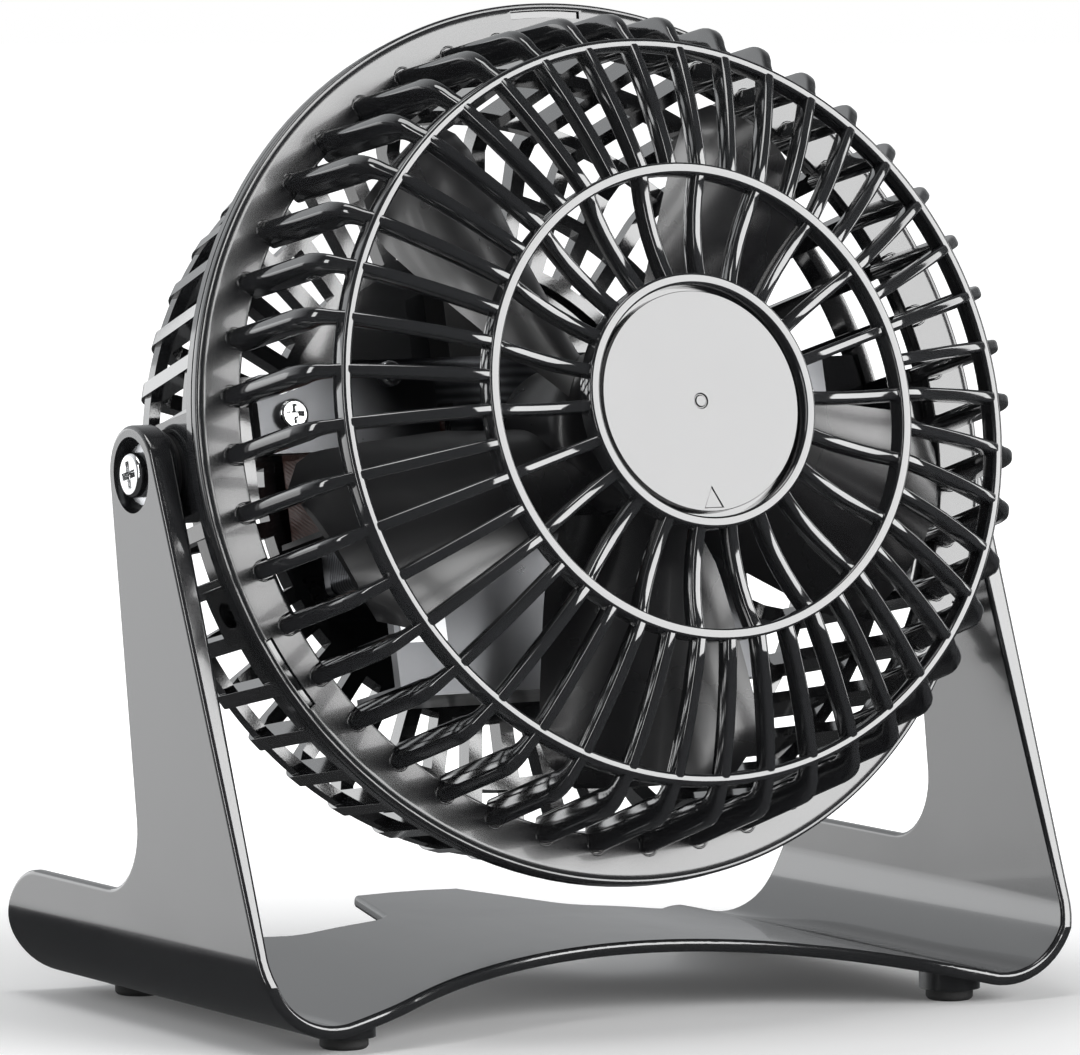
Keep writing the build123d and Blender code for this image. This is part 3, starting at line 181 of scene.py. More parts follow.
def moulded_gloss(name, tint, rough=(0.13, 0.2), grain=0.004 * MM, ripple=0.03 * MM, coat=0.6):
    """Glossy moulded plastic: slight flow ripple, a fine grain and handling haze."""
    material, tree, shader, place = new_material(name)
    haze = noise(tree, place, 26.0, 4.0, 0.6)
    lighter = tuple(min(1.0, channel * 1.35 + 0.002) for channel in tint)
    tree.links.new(shade_mix(tree, haze, tint, lighter), shader.inputs["Base Color"])
    tree.links.new(spread(tree, haze, *rough), shader.inputs["Roughness"])
    wavy = relief(tree, noise(tree, place, 42.0, 1.0), ripple)
    tree.links.new(relief(tree, noise(tree, place, 2400.0, 2.0), grain, wavy), shader.inputs["Normal"])
    shader.inputs["IOR"].default_value = 1.55
    shader.inputs["Specular IOR Level"].default_value = 0.8
    shader.inputs["Coat Weight"].default_value = coat
    shader.inputs["Coat Roughness"].default_value = 0.06
    shader.inputs["Coat IOR"].default_value = 1.6
    return material


def matt_moulding(name, tint, rough=0.5):
    """Matt moulded plastic or nylon with a spark-eroded grain."""
    material, tree, shader, place = new_material(name)
    cloud = noise(tree, place, 60.0, 4.0)
    darker = tuple(channel * 0.8 for channel in tint)
    tree.links.new(shade_mix(tree, cloud, darker, tint), shader.inputs["Base Color"])
    tree.links.new(spread(tree, cloud, rough - 0.06, rough + 0.08), shader.inputs["Roughness"])
    tree.links.new(relief(tree, noise(tree, place, 3200.0, 3.0), 0.02 * MM), shader.inputs["Normal"])
    return material


def soft_rubber(name, tint):
    """Matt rubber with dust in its grain."""
    material, tree, shader, place = new_material(name)
    dust = noise(tree, place, 500.0, 5.0, 0.7)
    lighter = tuple(channel + 0.03 for channel in tint)
    tree.links.new(shade_mix(tree, dust, tint, lighter), shader.inputs["Base Color"])
    tree.links.new(spread(tree, dust, 0.62, 0.85), shader.inputs["Roughness"])
    tree.links.new(relief(tree, dust, 0.03 * MM), shader.inputs["Normal"])
    return material


def plated_metal(name, tint, rough=(0.12, 0.26), brushed=0.0, metallic=1.0):
    """Plated or rolled metal: cloudy plating, and fine lines where it is brushed."""
    material, tree, shader, place = new_material(name)
    cloud = noise(tree, place, 90.0, 5.0, 0.6)
    darker = tuple(channel * 0.72 for channel in tint)
    tree.links.new(shade_mix(tree, cloud, darker, tint), shader.inputs["Base Color"])
    tree.links.new(spread(tree, cloud, *rough), shader.inputs["Roughness"])
    across = 1.0 + 20.0 * brushed
    stretch = add_node(tree, "ShaderNodeMapping", {"Vector": place, "Scale": (1.0, across, across)})
    lines = noise(tree, stretch.outputs["Vector"], 420.0, 3.0)
    tree.links.new(relief(tree, lines, (0.002 + 0.01 * brushed) * MM), shader.inputs["Normal"])
    shader.inputs["Metallic"].default_value = metallic
    return material


def layered(name, light, dark, pitch, axis, rough=0.35, metallic=1.0, depth=0.05 * MM):
    """Fine parallel layers across one axis: stacked laminations or the turns of a winding."""
    material, tree, shader, place = new_material(name)
    turned = add_node(
        tree, "ShaderNodeVectorRotate", {"Vector": place, "Axis": ACROSS}, rotation_type="AXIS_ANGLE"
    )
    turned.inputs["Angle"].default_value = -math.asin(FORWARD.z)
    wave = add_node(
        tree,
        "ShaderNodeTexWave",
        {
            "Vector": turned.outputs["Vector"], "Scale": 0.5 / (pitch * math.pi),
            "Distortion": 0.25, "Detail": 2.0,
        },
        wave_type="BANDS",
        bands_direction=axis,
    )
    cloud = noise(tree, place, 150.0, 4.0)
    both = math_node(tree, "MULTIPLY", wave.outputs["Fac"], cloud)
    tree.links.new(shade_mix(tree, both, dark, light), shader.inputs["Base Color"])
    tree.links.new(spread(tree, cloud, rough - 0.08, rough + 0.12), shader.inputs["Roughness"])
    tree.links.new(relief(tree, wave.outputs["Fac"], depth), shader.inputs["Normal"])
    shader.inputs["Metallic"].default_value = metallic
    return material


FINISHES = {}


def make_finishes(colours):
    """Every material of the fan, by name."""
    shell = tuple(colours.shell)
    FINISHES.update(
        stand=moulded_gloss("stand_gloss_black", shell),
        cage=moulded_gloss("cage_gloss_black", shell, rough=(0.06, 0.11), ripple=0.01 * MM),
        flange=moulded_gloss("flange_satin_black", shell, rough=(0.19, 0.26), ripple=0.01 * MM, coat=0.35),
        badge=moulded_gloss("badge_satin_black", shell, rough=(0.2, 0.26), ripple=0.012 * MM),
        blades=moulded_gloss(
            "blade_black", tuple(colours.blades), rough=(0.24, 0.32), ripple=0.004 * MM, coat=0.06
        ),
        matt=matt_moulding("switch_matt_black", (0.015, 0.015, 0.016)),
        rocker=moulded_gloss("rocker_black", (0.01, 0.01, 0.011), rough=(0.2, 0.28), coat=0.2),
        nylon=matt_moulding("natural_nylon", tuple(colours.nylon), 0.42),
        rubber=soft_rubber("foot_rubber", tuple(colours.rubber)),
        chrome=plated_metal("bright_chrome", (0.95, 0.955, 0.96), rough=(0.1, 0.18)),
        zinc=plated_metal("zinc_plate", (0.66, 0.67, 0.69), rough=(0.2, 0.36)),
        bracket=plated_metal("bracket_zinc", (0.17, 0.173, 0.18), rough=(0.26, 0.4), brushed=0.3),
        laminations=layered("core_laminations", (0.3, 0.31, 0.33), (0.09, 0.092, 0.1), 0.5 * MM, "Y"),
        ground=plated_metal("ground_steel", (0.7, 0.71, 0.73), rough=(0.1, 0.2)),
        cast=plated_metal("cast_aluminium", (0.56, 0.57, 0.58), rough=(0.35, 0.5)),
        copper=layered(
            "copper_turns", tuple(colours.copper), (0.05, 0.012, 0.006), 0.4 * MM, "Z",
            rough=0.45, metallic=0.15,
        ),
        bronze=plated_metal("sintered_bronze", (0.5, 0.33, 0.15), rough=(0.4, 0.55)),
        foil=plated_metal("blank_foil", (0.74, 0.75, 0.76), rough=(0.28, 0.36)),
    )


# ------------------------------------------------------------------ meshes
def link_mesh(name, mesh):
    """An object for a finished mesh, at the origin."""
    piece = bpy.data.objects.new(name, mesh)
    bpy.context.scene.collection.objects.link(piece)
    return piece


def mesh_from(name, points, faces):
    """A welded mesh with its faces outwards."""
    mesh = bpy.data.meshes.new(name)
    mesh.from_pydata([Vector(point) for point in points], [], faces)
    body = bmesh.new()
    body.from_mesh(mesh)
    bmesh.ops.remove_doubles(body, verts=body.verts, dist=0.001 * MM)
    bmesh.ops.recalc_face_normals(body, faces=body.faces)
    body.to_mesh(mesh)
    body.free()
    return mesh


def smooth(mesh, angle=32.0):
    """Smooth shading that stays sharp over real corners."""
    mesh.shade_smooth()
    mesh.set_sharp_from_angle(angle=math.radians(angle))
    return mesh


def join_meshes(name, meshes):
    """Several meshes in one, each keeping its own material."""
    joined = bmesh.new()
    materials = []
    for mesh in meshes:
        part = mesh.copy()
        for slot, material in enumerate(mesh.materials):
            if material not in materials:
                materials.append(material)
        indices = [materials.index(material) for material in mesh.materials] or [0]
        for face in part.polygons:
            face.material_index = indices[face.material_index]
        joined.from_mesh(part)
        bpy.data.meshes.remove(part)
    result = bpy.data.meshes.new(name)
    joined.to_mesh(result)
    joined.free()
    for material in materials:
        result.materials.append(material)
    return result


def turned(name, outline, steps, shape=None, closed=True):
    """A ring or solid turned round the head's axis from (radius, station) points."""
    points, faces = [], []
    count = len(outline)
    for step in range(steps):
        angle = 2.0 * math.pi * step / steps
        for radius, station in outline:
            if shape:
                radius, station = shape(radius, station, angle)
            points.append((radius * math.cos(angle), radius * math.sin(angle), station))
    spans = count if closed else count - 1
    for step in range(steps):
        after = (step + 1) % steps
        for k in range(spans):
            m = (k + 1) % count
            faces.append((step * count + k, after * count + k, after * count + m, step * count + m))
    return mesh_from(name, points, faces)


def rounded_outline(corners, radii, steps=4):
    """A closed outline with each corner rounded by its own radius."""
    outline = []
    count = len(corners)
    for index, corner in enumerate(corners):
        here = Vector(corner)
        radius = radii[index]
        if radius <= 0.0:
            outline.append(tuple(here))
            continue
        before = Vector(corners[index - 1]) - here
        after = Vector(corners[(index + 1) % count]) - here
        half = before.angle(after) / 2.0
        reach = radius / math.tan(half)
        start = here + before.normalized() * reach
        end = here + after.normalized() * reach
        for step in range(steps + 1):
            t = step / steps
            outline.append(tuple(start * (1 - t) ** 2 + here * 2 * t * (1 - t) + end * t**2))
    return outline


def fair_copy(node, name, bevel=0.0, angle=32.0):
    """A welded, softly edged copy of a CAD node's mesh."""
    mesh = frame["nodes"][node].data.copy()
    mesh.name = name
    mesh.materials.clear()
    custom = mesh.attributes.get("custom_normal")
    if custom is not None:
        mesh.attributes.remove(custom)
    body = bmesh.new()
    body.from_mesh(mesh)
    bmesh.ops.remove_doubles(body, verts=body.verts, dist=0.002 * MM)
    bmesh.ops.dissolve_degenerate(body, edges=body.edges, dist=0.001 * MM)
    bmesh.ops.dissolve_limit(body, angle_limit=math.radians(0.4), verts=body.verts, edges=body.edges)
    body.to_mesh(mesh)
    body.free()
    piece = link_mesh(name, smooth(mesh, angle))
    if bevel:
        soft = piece.modifiers.new("Soft edges", "BEVEL")
        soft.width = bevel
        soft.segments = 2
        soft.limit_method = "ANGLE"
        soft.angle_limit = math.radians(angle)
        soft.harden_normals = False
    even = piece.modifiers.new("Even shading", "WEIGHTED_NORMAL")
    even.keep_sharp = True
    return piece


def finish_piece(piece, body, slot, *nodes, material=None):
    """Gives a piece its material and its body, and hides the CAD nodes it stands for. The slot is not used.
    """
    if material is not None:
        piece.data.materials.clear()
        piece.data.materials.append(material)
    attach(piece, body)
    if nodes:
        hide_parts(*nodes)
    return piece


# ------------------------------------------------------------------ node trees
def new_tree(name, sizes):
    """A geometry tree with named inputs, and its input and output nodes."""
    tree = bpy.data.node_groups.new(name, "GeometryNodeTree")
    tree.interface.new_socket("Geometry", in_out="INPUT", socket_type="NodeSocketGeometry")
    for label, value in sizes.items():
        kind = "NodeSocketInt" if isinstance(value, int) else "NodeSocketFloat"
        tree.interface.new_socket(label, in_out="INPUT", socket_type=kind).default_value = value
    tree.interface.new_socket("Material", in_out="INPUT", socket_type="NodeSocketMaterial")
    tree.interface.new_socket("Geometry", in_out="OUTPUT", socket_type="NodeSocketGeometry")
    given = tree.nodes.new("NodeGroupInput").outputs
    result = tree.nodes.new("NodeGroupOutput").inputs
    return tree, given, result


def end_tree(tree, given, result, geometry):
    """Ends a tree: real geometry, smooth, in the given material."""
    real = add_node(tree, "GeometryNodeRealizeInstances", {0: geometry}).outputs[0]
    rounded = add_node(tree, "GeometryNodeSetShadeSmooth", {0: real}).outputs[0]
    painted = add_node(
        tree, "GeometryNodeSetMaterial", {0: rounded, "Material": given["Material"]}
    ).outputs[0]
    tree.links.new(painted, result[0])
    return tree


def soft_bar(tree, width, depth, softness):
    """A rounded bar section."""
    size = {"Width": width, "Height": depth}
    box = add_node(tree, "GeometryNodeCurvePrimitiveQuadrilateral", size).outputs[0]
    return add_node(
        tree,
        "GeometryNodeFilletCurve",
        {0: box, "Count": 3, "Radius": softness, "Limit Radius": True},
        mode="POLY",
    ).outputs[0]


def turn_vector(tree, angle):
    """A turn round the head's axis."""
    return add_node(tree, "ShaderNodeCombineXYZ", {"Z": angle}).outputs[0]


def copies_round(tree, given, geometry):
    """Copies of a shape round the head's axis, evenly spaced from a first angle."""
    points = add_node(tree, "GeometryNodePoints", {"Count": given["Count"]}).outputs[0]
    index = add_node(tree, "GeometryNodeInputIndex").outputs[0]
    whole = math_node(tree, "DIVIDE", 2.0 * math.pi, given["Count"])
    angle = math_node(tree, "MULTIPLY_ADD", index, whole, given["First angle"])
    return add_node(
        tree,
        "GeometryNodeInstanceOnPoints",
        {"Points": points, "Instance": geometry, "Rotation": turn_vector(tree, angle)},
    ).outputs[0]


def ribs_tree():
    """A drawn path swept with a rounded bar, then copied round the head's axis."""
    tree, given, result = new_tree(
        "Radial ribs",
        {"Count": 44, "First angle": 0.0, "Width": 2.4 * MM, "Depth": 4.6 * MM, "Softness": 1.0 * MM},
    )
    path = add_node(tree, "GeometryNodeMeshToCurve", {0: given["Geometry"]}).outputs[0]
    path = add_node(
        tree, "GeometryNodeSetCurveNormal", {0: path, "Normal": (0.0, 1.0, 0.0)}, mode="FREE"
    ).outputs[0]
    taper = add_node(
        tree, "GeometryNodeInputNamedAttribute", {"Name": "thickness"}, data_type="FLOAT"
    ).outputs[0]
    section = soft_bar(tree, given["Width"], given["Depth"], given["Softness"])
    bar = add_node(
        tree,
        "GeometryNodeCurveToMesh",
        {"Curve": path, "Profile Curve": section, "Scale": taper, "Fill Caps": True},
    ).outputs[0]
    return end_tree(tree, given, result, copies_round(tree, given, bar))


def copies_tree():
    """Any shape copied round the head's axis."""
    tree, given, result = new_tree("Radial copies", {"Count": 5, "First angle": 0.0})
    return end_tree(tree, given, result, copies_round(tree, given, given["Geometry"]))


def ring_tree():
    """A rounded bar bent into a ring and added to what came before."""
    tree, given, result = new_tree(
        "Ring",
        {
            "Radius": 50.0 * MM, "Station": 0.0, "Width": 2.3 * MM,
            "Depth": 5.0 * MM, "Softness": 0.6 * MM, "Steps": 176,
        },
    )
    half = math_node(tree, "MULTIPLY_ADD", given["Width"], -0.5, given["Radius"])
    circle = {"Resolution": given["Steps"], "Radius": half}
    loop = add_node(tree, "GeometryNodeCurvePrimitiveCircle", circle).outputs[0]
    loop = add_node(tree, "GeometryNodeSetCurveNormal", {0: loop}, mode="Z_UP").outputs[0]
    section = soft_bar(tree, given["Width"], given["Depth"], given["Softness"])
    bar = add_node(tree, "GeometryNodeCurveToMesh", {"Curve": loop, "Profile Curve": section}).outputs[0]
    lift = math_node(tree, "MULTIPLY_ADD", given["Depth"], -0.5, given["Station"])
    move = add_node(tree, "ShaderNodeCombineXYZ", {"Z": lift}).outputs[0]
    bar = add_node(tree, "GeometryNodeTransform", {0: bar, "Translation": move}).outputs[0]
    both = tree.nodes.new("GeometryNodeJoinGeometry")
    tree.links.new(bar, both.inputs[0])
    tree.links.new(given["Geometry"], both.inputs[0])
    return end_tree(tree, given, result, both.outputs[0])


TREES = {}


def tree_of(name, build):
    """A node tree, built the first time it is asked for."""
    if name not in TREES:
        TREES[name] = build()
    return TREES[name]


def apply_tree(piece, tree, **values):
    """Adds a tree to a piece and fills in its inputs by their sockets' identifiers."""
    modifier = piece.modifiers.new(tree.name, "NODES")
    modifier.node_group = tree
    for item in tree.interface.items_tree:
        key = item.name.lower().replace(" ", "_")
        if item.in_out == "INPUT" and key in values:
            modifier[item.identifier] = values[key]
    return modifier


def bake(piece):
    """Turns a piece and its modifiers into a plain mesh."""
    bpy.context.view_layer.update()
    graph = bpy.context.evaluated_depsgraph_get()
    mesh = bpy.data.meshes.new_from_object(piece.evaluated_get(graph), depsgraph=graph)
    old = piece.data
    name = piece.name
    bpy.data.objects.remove(piece)
    if old.users == 0:
        bpy.data.meshes.remove(old)
    mesh.name = name
    return mesh


def ring_mesh(name, material, **sizes):
    """One ring as a mesh."""
    piece = link_mesh(name, bpy.data.meshes.new(name))
    apply_tree(piece, tree_of("ring", ring_tree), material=material, **sizes)
    return bake(piece)


def rib_set(name, path, material, **sizes):
    """A set of ribs as a mesh. Each path point is (radius, station, thickness) on the outer edge."""
    mesh = bpy.data.meshes.new(name)
    depth = sizes["depth"]
    points = []
    for index, (radius, station, scale) in enumerate(path):
        before = path[max(index - 1, 0)]
        after = path[min(index + 1, len(path) - 1)]
        along = Vector((after[0] - before[0], after[1] - before[1])).normalized()
        inward = Vector((-along.y, along.x))
        middle = Vector((radius, station)) + inward * depth * scale / 2.0
        points.append((middle.x, 0.0, middle.y))
    mesh.from_pydata(points, [(k, k + 1) for k in range(len(points) - 1)], [])
    thickness = mesh.attributes.new("thickness", "FLOAT", "POINT")
    for item, (_, _, scale) in zip(thickness.data, path):
        item.value = scale
    piece = link_mesh(name, mesh)
    apply_tree(piece, tree_of("ribs", ribs_tree), material=material, **sizes)
    return bake(piece)


def in_head(mesh):
    """Carries a mesh from the head's own frame to where the head rests."""
    mesh.transform(HEAD)
    return mesh


# ------------------------------------------------------------------ shapes
def arc_points(start, bend, end, steps):
    """Points on a soft curve from start to end, pulled towards bend, without the first."""
    found = []
    for step in range(1, steps + 1):
        t = step / steps
        point = Vector(start) * (1 - t) ** 2 + Vector(bend) * 2 * t * (1 - t) + Vector(end) * t**2
        found.append(tuple(point))
    return found


def front_path(cage, inner_end):
    """Outer edge of a front rib: up the side, round the shoulder and in over the face."""
    back = cage.rim_front - cage.rim_thickness
    slope = (cage.root_radius - cage.shoulder_radius) / (cage.shoulder_station - back)
    bend = (cage.shoulder_radius + slope * 6.0 * MM, cage.shoulder_station - 6.0 * MM)
    over = (cage.front_ring + 2.0 * MM, cage.front_station - 2.1 * MM)
    ring = (cage.front_ring - 0.4 * MM, cage.front_station)
    mid = (cage.mid_ring, cage.mid_station)
    crown = ((ring[0] + mid[0]) / 2, (ring[1] + mid[1]) / 2 + 2.0 * MM)
    side = [(cage.root_radius, back + 0.4 * MM), bend]
    corner = arc_points(bend, (cage.shoulder_radius, cage.shoulder_station), over, 7)
    face = arc_points(ring, crown, mid, 6)
    points = [(*p, cage.bar_scale) for p in side]
    for index, point in enumerate(corner):
        points.append((*point, cage.bar_scale + (1.0 - cage.bar_scale) * (index + 1) / len(corner)))
    points.append((*ring, 1.0))
    points += [(*p, 1.0) for p in face]
    if inner_end < cage.mid_ring - cage.ring_width:
        end = (inner_end, cage.mid_station)
        dip = ((mid[0] + inner_end) / 2, cage.mid_station - 4.6 * MM)
        points += [(*p, 1.0) for p in arc_points(mid, dip, end, 7)]
    else:
        points.append((inner_end, cage.mid_station, 1.0))
    return points


def rim_mesh(cage, material):
    """The front flange, with the slight sinks that the ribs pull in its face."""
    inner, outer = cage.rim_inner, cage.rim_radius
    front, back = cage.rim_front, cage.rim_front - cage.rim_thickness
    lip = 1.1 * MM
    corners = [(inner, back), (outer, back), (outer, front), (outer - lip, front), (inner, front)]
    outline = rounded_outline(corners[:3], (0.0, 0.3 * MM, 0.7 * MM))
    span = outer - lip - inner
    flat = [outer - lip - span * k / 8 for k in range(8)]
    outline += [(radius, front) for radius in flat]
    edge = [(inner + 0.8 * MM, front), (inner, front), (inner, front - 0.8 * MM)]
    outline += rounded_outline(edge, (0.0, 0.4 * MM, 0.0), 3)
    count = cage.ribs

    def sink(radius, station, angle):
        if station < front - 0.05 * MM or radius > outer - lip:
            return radius, station
        near = 1.0 - (radius - inner) / span
        dip = 0.5 + 0.5 * math.cos(count * angle)
        return radius, station - 0.03 * MM * dip * near**1.5
    mesh = turned("front_rim", outline, count * 8, sink)
    mesh.materials.append(material)
    return smooth(mesh, 40.0)


def root_bead_mesh(cage, material):
    """The thin raised lip round the foot of each side bar."""
    wide = cage.rib_width * cage.bar_scale / 2 + 0.45 * MM
    station = cage.rim_front
    outer = cage.root_radius + 0.45 * MM
    path = [(cage.rim_inner + 0.3 * MM, -wide)]
    for step in range(9):
        turn = -math.pi / 2 + math.pi * step / 8
        path.append((outer - wide + wide * math.cos(turn), wide * math.sin(turn)))
    path.append((cage.rim_inner + 0.3 * MM, wide))
    points, faces = [], []
    round_steps, bead = 6, 0.32 * MM
    for index, place in enumerate(path):
        before = Vector(path[max(index - 1, 0)])
        after = Vector(path[min(index + 1, len(path) - 1)])
        side = (after - before).normalized()
        out = Vector((side.y, -side.x))
        for step in range(round_steps):
            turn = 2.0 * math.pi * step / round_steps
            reach = out * bead * math.cos(turn)
            rise = station - 0.1 * MM + bead * math.sin(turn)
            points.append((place[0] + reach.x, place[1] + reach.y, rise))
    for index in range(len(path) - 1):
        for step in range(round_steps):
            after = (step + 1) % round_steps
            faces.append((
                index * round_steps + step, (index + 1) * round_steps + step,
                (index + 1) * round_steps + after, index * round_steps + after,
            ))
    last = (len(path) - 1) * round_steps
    faces.append(tuple(range(round_steps)))
    faces.append(tuple(last + step for step in reversed(range(round_steps))))
    piece = link_mesh("root_bead", mesh_from("root_bead", points, faces))
    apply_tree(piece, tree_of("copies", copies_tree), count=cage.ribs, first_angle=0.0, material=material)
    return bake(piece)


def snap_mesh(radius, width, half_angle, back, front, angle, material):
    """A short curved tongue round the head's axis."""
    points, faces = [], []
    steps = 10
    for step in range(steps + 1):
        turn = math.radians(angle - half_angle + 2.0 * half_angle * step / steps)
        for side, station in ((-0.5, back), (0.5, back), (0.5, front), (-0.5, front)):
            reach = radius + side * width
            points.append((reach * math.cos(turn), reach * math.sin(turn), station))
    for step in range(steps):
        for k in range(4):
            m = (k + 1) % 4
            faces.append((step * 4 + k, (step + 1) * 4 + k, (step + 1) * 4 + m, step * 4 + m))
    faces.append((0, 1, 2, 3))
    faces.append(tuple(steps * 4 + k for k in (3, 2, 1, 0)))
    mesh = mesh_from("snap", points, faces)
    mesh.materials.append(material)
    return mesh


def cut(mesh, tool, name):
    """A mesh with another cut out of it."""
    piece, knife = link_mesh(name, mesh), link_mesh(name + "_cutter", tool)
    carve = piece.modifiers.new("Cut", "BOOLEAN")
    carve.operation = "DIFFERENCE"
    carve.solver = "EXACT"
    carve.object = knife
    result = bake(piece)
    bpy.data.objects.remove(knife)
    bpy.data.meshes.remove(tool)
    return result


# ------------------------------------------------------------------ operators
class FanPiece:
    """What every operator of the fan shares"""

    bl_options = {"REGISTER", "UNDO"}


# snap slots in the front flange
SLOT_INSET = 2.5 * MM
SLOT_WIDTH = 1.7 * MM
SLOT_HALF_ANGLE = 5.2
SLOT_DEPTH = 4.0 * MM
SLOT_OVER = 1.0 * MM
SLOT_ANGLES = (90.0, 210.0, 330.0)


class FAN_OT_front_guard(FanPiece, bpy.types.Operator):
    """Moulds the front half of the cage: flange, side bars, face ribs, rings and cap cup"""

    bl_idname = "fan.front_guard"
    bl_label = "Front guard"

    def execute(self, context):
        cage = context.scene.fan_cage
        gloss = FINISHES["cage"]
        shared = {"material": gloss, "width": cage.rib_width, "depth": cage.rib_depth, "softness": 0.75 * MM}
        pair = cage.ribs // 2
        step = 2.0 * math.pi / cage.ribs
        long_path = front_path(cage, cage.cap_ring - 1.2 * MM)
        short_path = front_path(cage, cage.mid_ring - 1.2 * MM)
        rim = rim_mesh(cage, FINISHES["flange"])
        slots = join_meshes("snap_slots", [
            snap_mesh(
                cage.rim_radius - SLOT_INSET, SLOT_WIDTH, SLOT_HALF_ANGLE,
                cage.rim_front - SLOT_DEPTH, cage.rim_front + SLOT_OVER, angle, gloss,
            )
            for angle in SLOT_ANGLES
        ])
        parts = [
            smooth(cut(rim, slots, "front_rim"), 40.0),
            root_bead_mesh(cage, gloss),
            rib_set("long_ribs", long_path, count=pair, first_angle=0.0, **shared),
            rib_set("short_ribs", short_path, count=pair, first_angle=step, **shared),
        ]
        rings = (
            (cage.front_ring, cage.front_station, 0.75 * MM),
            (cage.mid_ring, cage.mid_station, 0.45 * MM),
            (cage.cap_ring, cage.mid_station, 0.5 * MM),
        )
        for index, (radius, station, softness) in enumerate(rings):
            parts.append(ring_mesh(
                f"ring_{index}", gloss, radius=radius, station=station + 0.4 * MM,
                width=cage.ring_width, depth=cage.ring_depth, softness=softness,
            ))
        floor = cage.mid_station - 4.9 * MM
        edge, top = cage.cap_ring - 1.2 * MM, floor + 2.2 * MM
        cup = [(0.0, floor), (edge, floor), (edge, top), (0.0, top)]
        base = turned("cap_floor", cup, 96, closed=False)
        base.materials.append(gloss)
        parts.append(smooth(base))
        mesh = in_head(join_meshes("front_guard_moulding", parts))
        finish_piece(link_mesh(mesh.name, mesh), "head", "cage_plastic", "front_guard")
        return {"FINISHED"}


class FAN_OT_badge(FanPiece, bpy.types.Operator):
    """Fits the plain disc in the cap, with its centre pip and small pointer"""

    bl_idname = "fan.badge"
    bl_label = "Cap disc"

    def execute(self, context):
        piece = fair_copy("front_badge", "cap_disc", bevel=0.12 * MM)
        finish_piece(piece, "head", "badge_plastic", "front_badge", material=FINISHES["badge"])
        return {"FINISHED"}


class FAN_OT_rear_guard(FanPiece, bpy.types.Operator):
    """Moulds the rear half of the cage: flange, bars, hoops, hub plate and pivot blocks"""

    bl_idname = "fan.rear_guard"
    bl_label = "Rear guard"

    def execute(self, context):
        piece = fair_copy("rear_guard", "rear_guard_moulding", bevel=0.7 * MM, angle=25.0)
        finish_piece(piece, "head", "cage_plastic", "rear_guard", material=FINISHES["cage"])
        return {"FINISHED"}


class FAN_OT_stand(FanPiece, bpy.types.Operator):
    """Moulds the bent stand and its rubber feet"""

    bl_idname = "fan.stand"
    bl_label = "Stand and feet"

    def execute(self, context):
        stand = fair_copy("stand", "stand_moulding", angle=28.0)
        finish_piece(stand, "stand", "stand_plastic", "stand", material=FINISHES["stand"])
        feet = fair_copy("rubber_feet", "soft_feet", bevel=0.25 * MM)
        finish_piece(feet, "stand", "rubber", "rubber_feet", material=FINISHES["rubber"])
        return {"FINISHED"}


class FAN_OT_pivots(FanPiece, bpy.types.Operator):
    """Fits the pivot screws and washers"""

    bl_idname = "fan.pivots"
    bl_label = "Pivots"

    def execute(self, context):
        screws = fair_copy("pivot_screws", "bright_pivot_screws", bevel=0.15 * MM)
        finish_piece(screws, "head", "screw_chrome", "pivot_screws", material=FINISHES["chrome"])
        washers = fair_copy("pivot_washers", "plated_pivot_washers", bevel=0.15 * MM)
        finish_piece(washers, "stand", "zinc", "pivot_washers", material=FINISHES["zinc"])
        for node, finish in (("friction_washers", "matt"), ("pivot_nuts", "zinc")):
            paint_node(node, finish)
        return {"FINISHED"}


def paint_node(node, finish):
    """Gives a CAD node a better material in place of its own."""
    data = frame["nodes"][node].data
    data.materials.clear()
    data.materials.append(FINISHES[finish])


class FAN_OT_motor(FanPiece, bpy.types.Operator):
    """Copies the bracket and its screws, and gives the stator, winding, bearings and fixings their materials
    """

    bl_idname = "fan.motor"
    bl_label = "Motor"

    def execute(self, context):
        bracket = fair_copy("motor_bracket", "pressed_bracket", bevel=0.25 * MM)
        finish_piece(bracket, "head", "bracket_steel", "motor_bracket", material=FINISHES["bracket"])
        screws = fair_copy("bracket_screws", "bright_bracket_screws", bevel=0.12 * MM)
        finish_piece(screws, "head", "screw_chrome", "bracket_screws", material=FINISHES["chrome"])
        plain = {
            "rating_label": "foil", "stator_core": "laminations", "shading_rings": "copper",
            "coil_bobbin": "matt", "coil_winding": "copper", "rear_bearing_bracket": "bracket",
            "front_bearing": "bronze", "rear_bearing": "bronze", "motor_spacers": "zinc",
            "motor_screws": "zinc", "motor_nuts": "zinc", "rotor": "cast", "shaft": "ground",
            "thrust_washers": "nylon",
        }
        for node, finish in plain.items():
            paint_node(node, finish)
        return {"FINISHED"}


# impeller, in millimetres and degrees, in the head's own frame
BLADE_COUNT = 5
BLADE_TURN = -18.0
BLADE_MIDDLE = 27.0
BLADE_THICKNESS = 1.9
# radius, chord, pitch, camber
BLADE_STATIONS = (
    (16.5, 26.0, 48.0, 2.5), (34.2, 38.0, 38.0, 3.5), (54.0, 44.0, 29.0, 4.0), (76.0, 50.0, 22.0, 4.0),
)
# radius, station
HUB_OUTLINE = (
    (0.0, 36.0), (13.0, 36.0), (15.6, 35.3), (17.3, 33.6), (18.0, 31.0),
    (18.0, 9.0), (15.8, 9.0), (15.8, 29.4), (0.0, 29.4),
)


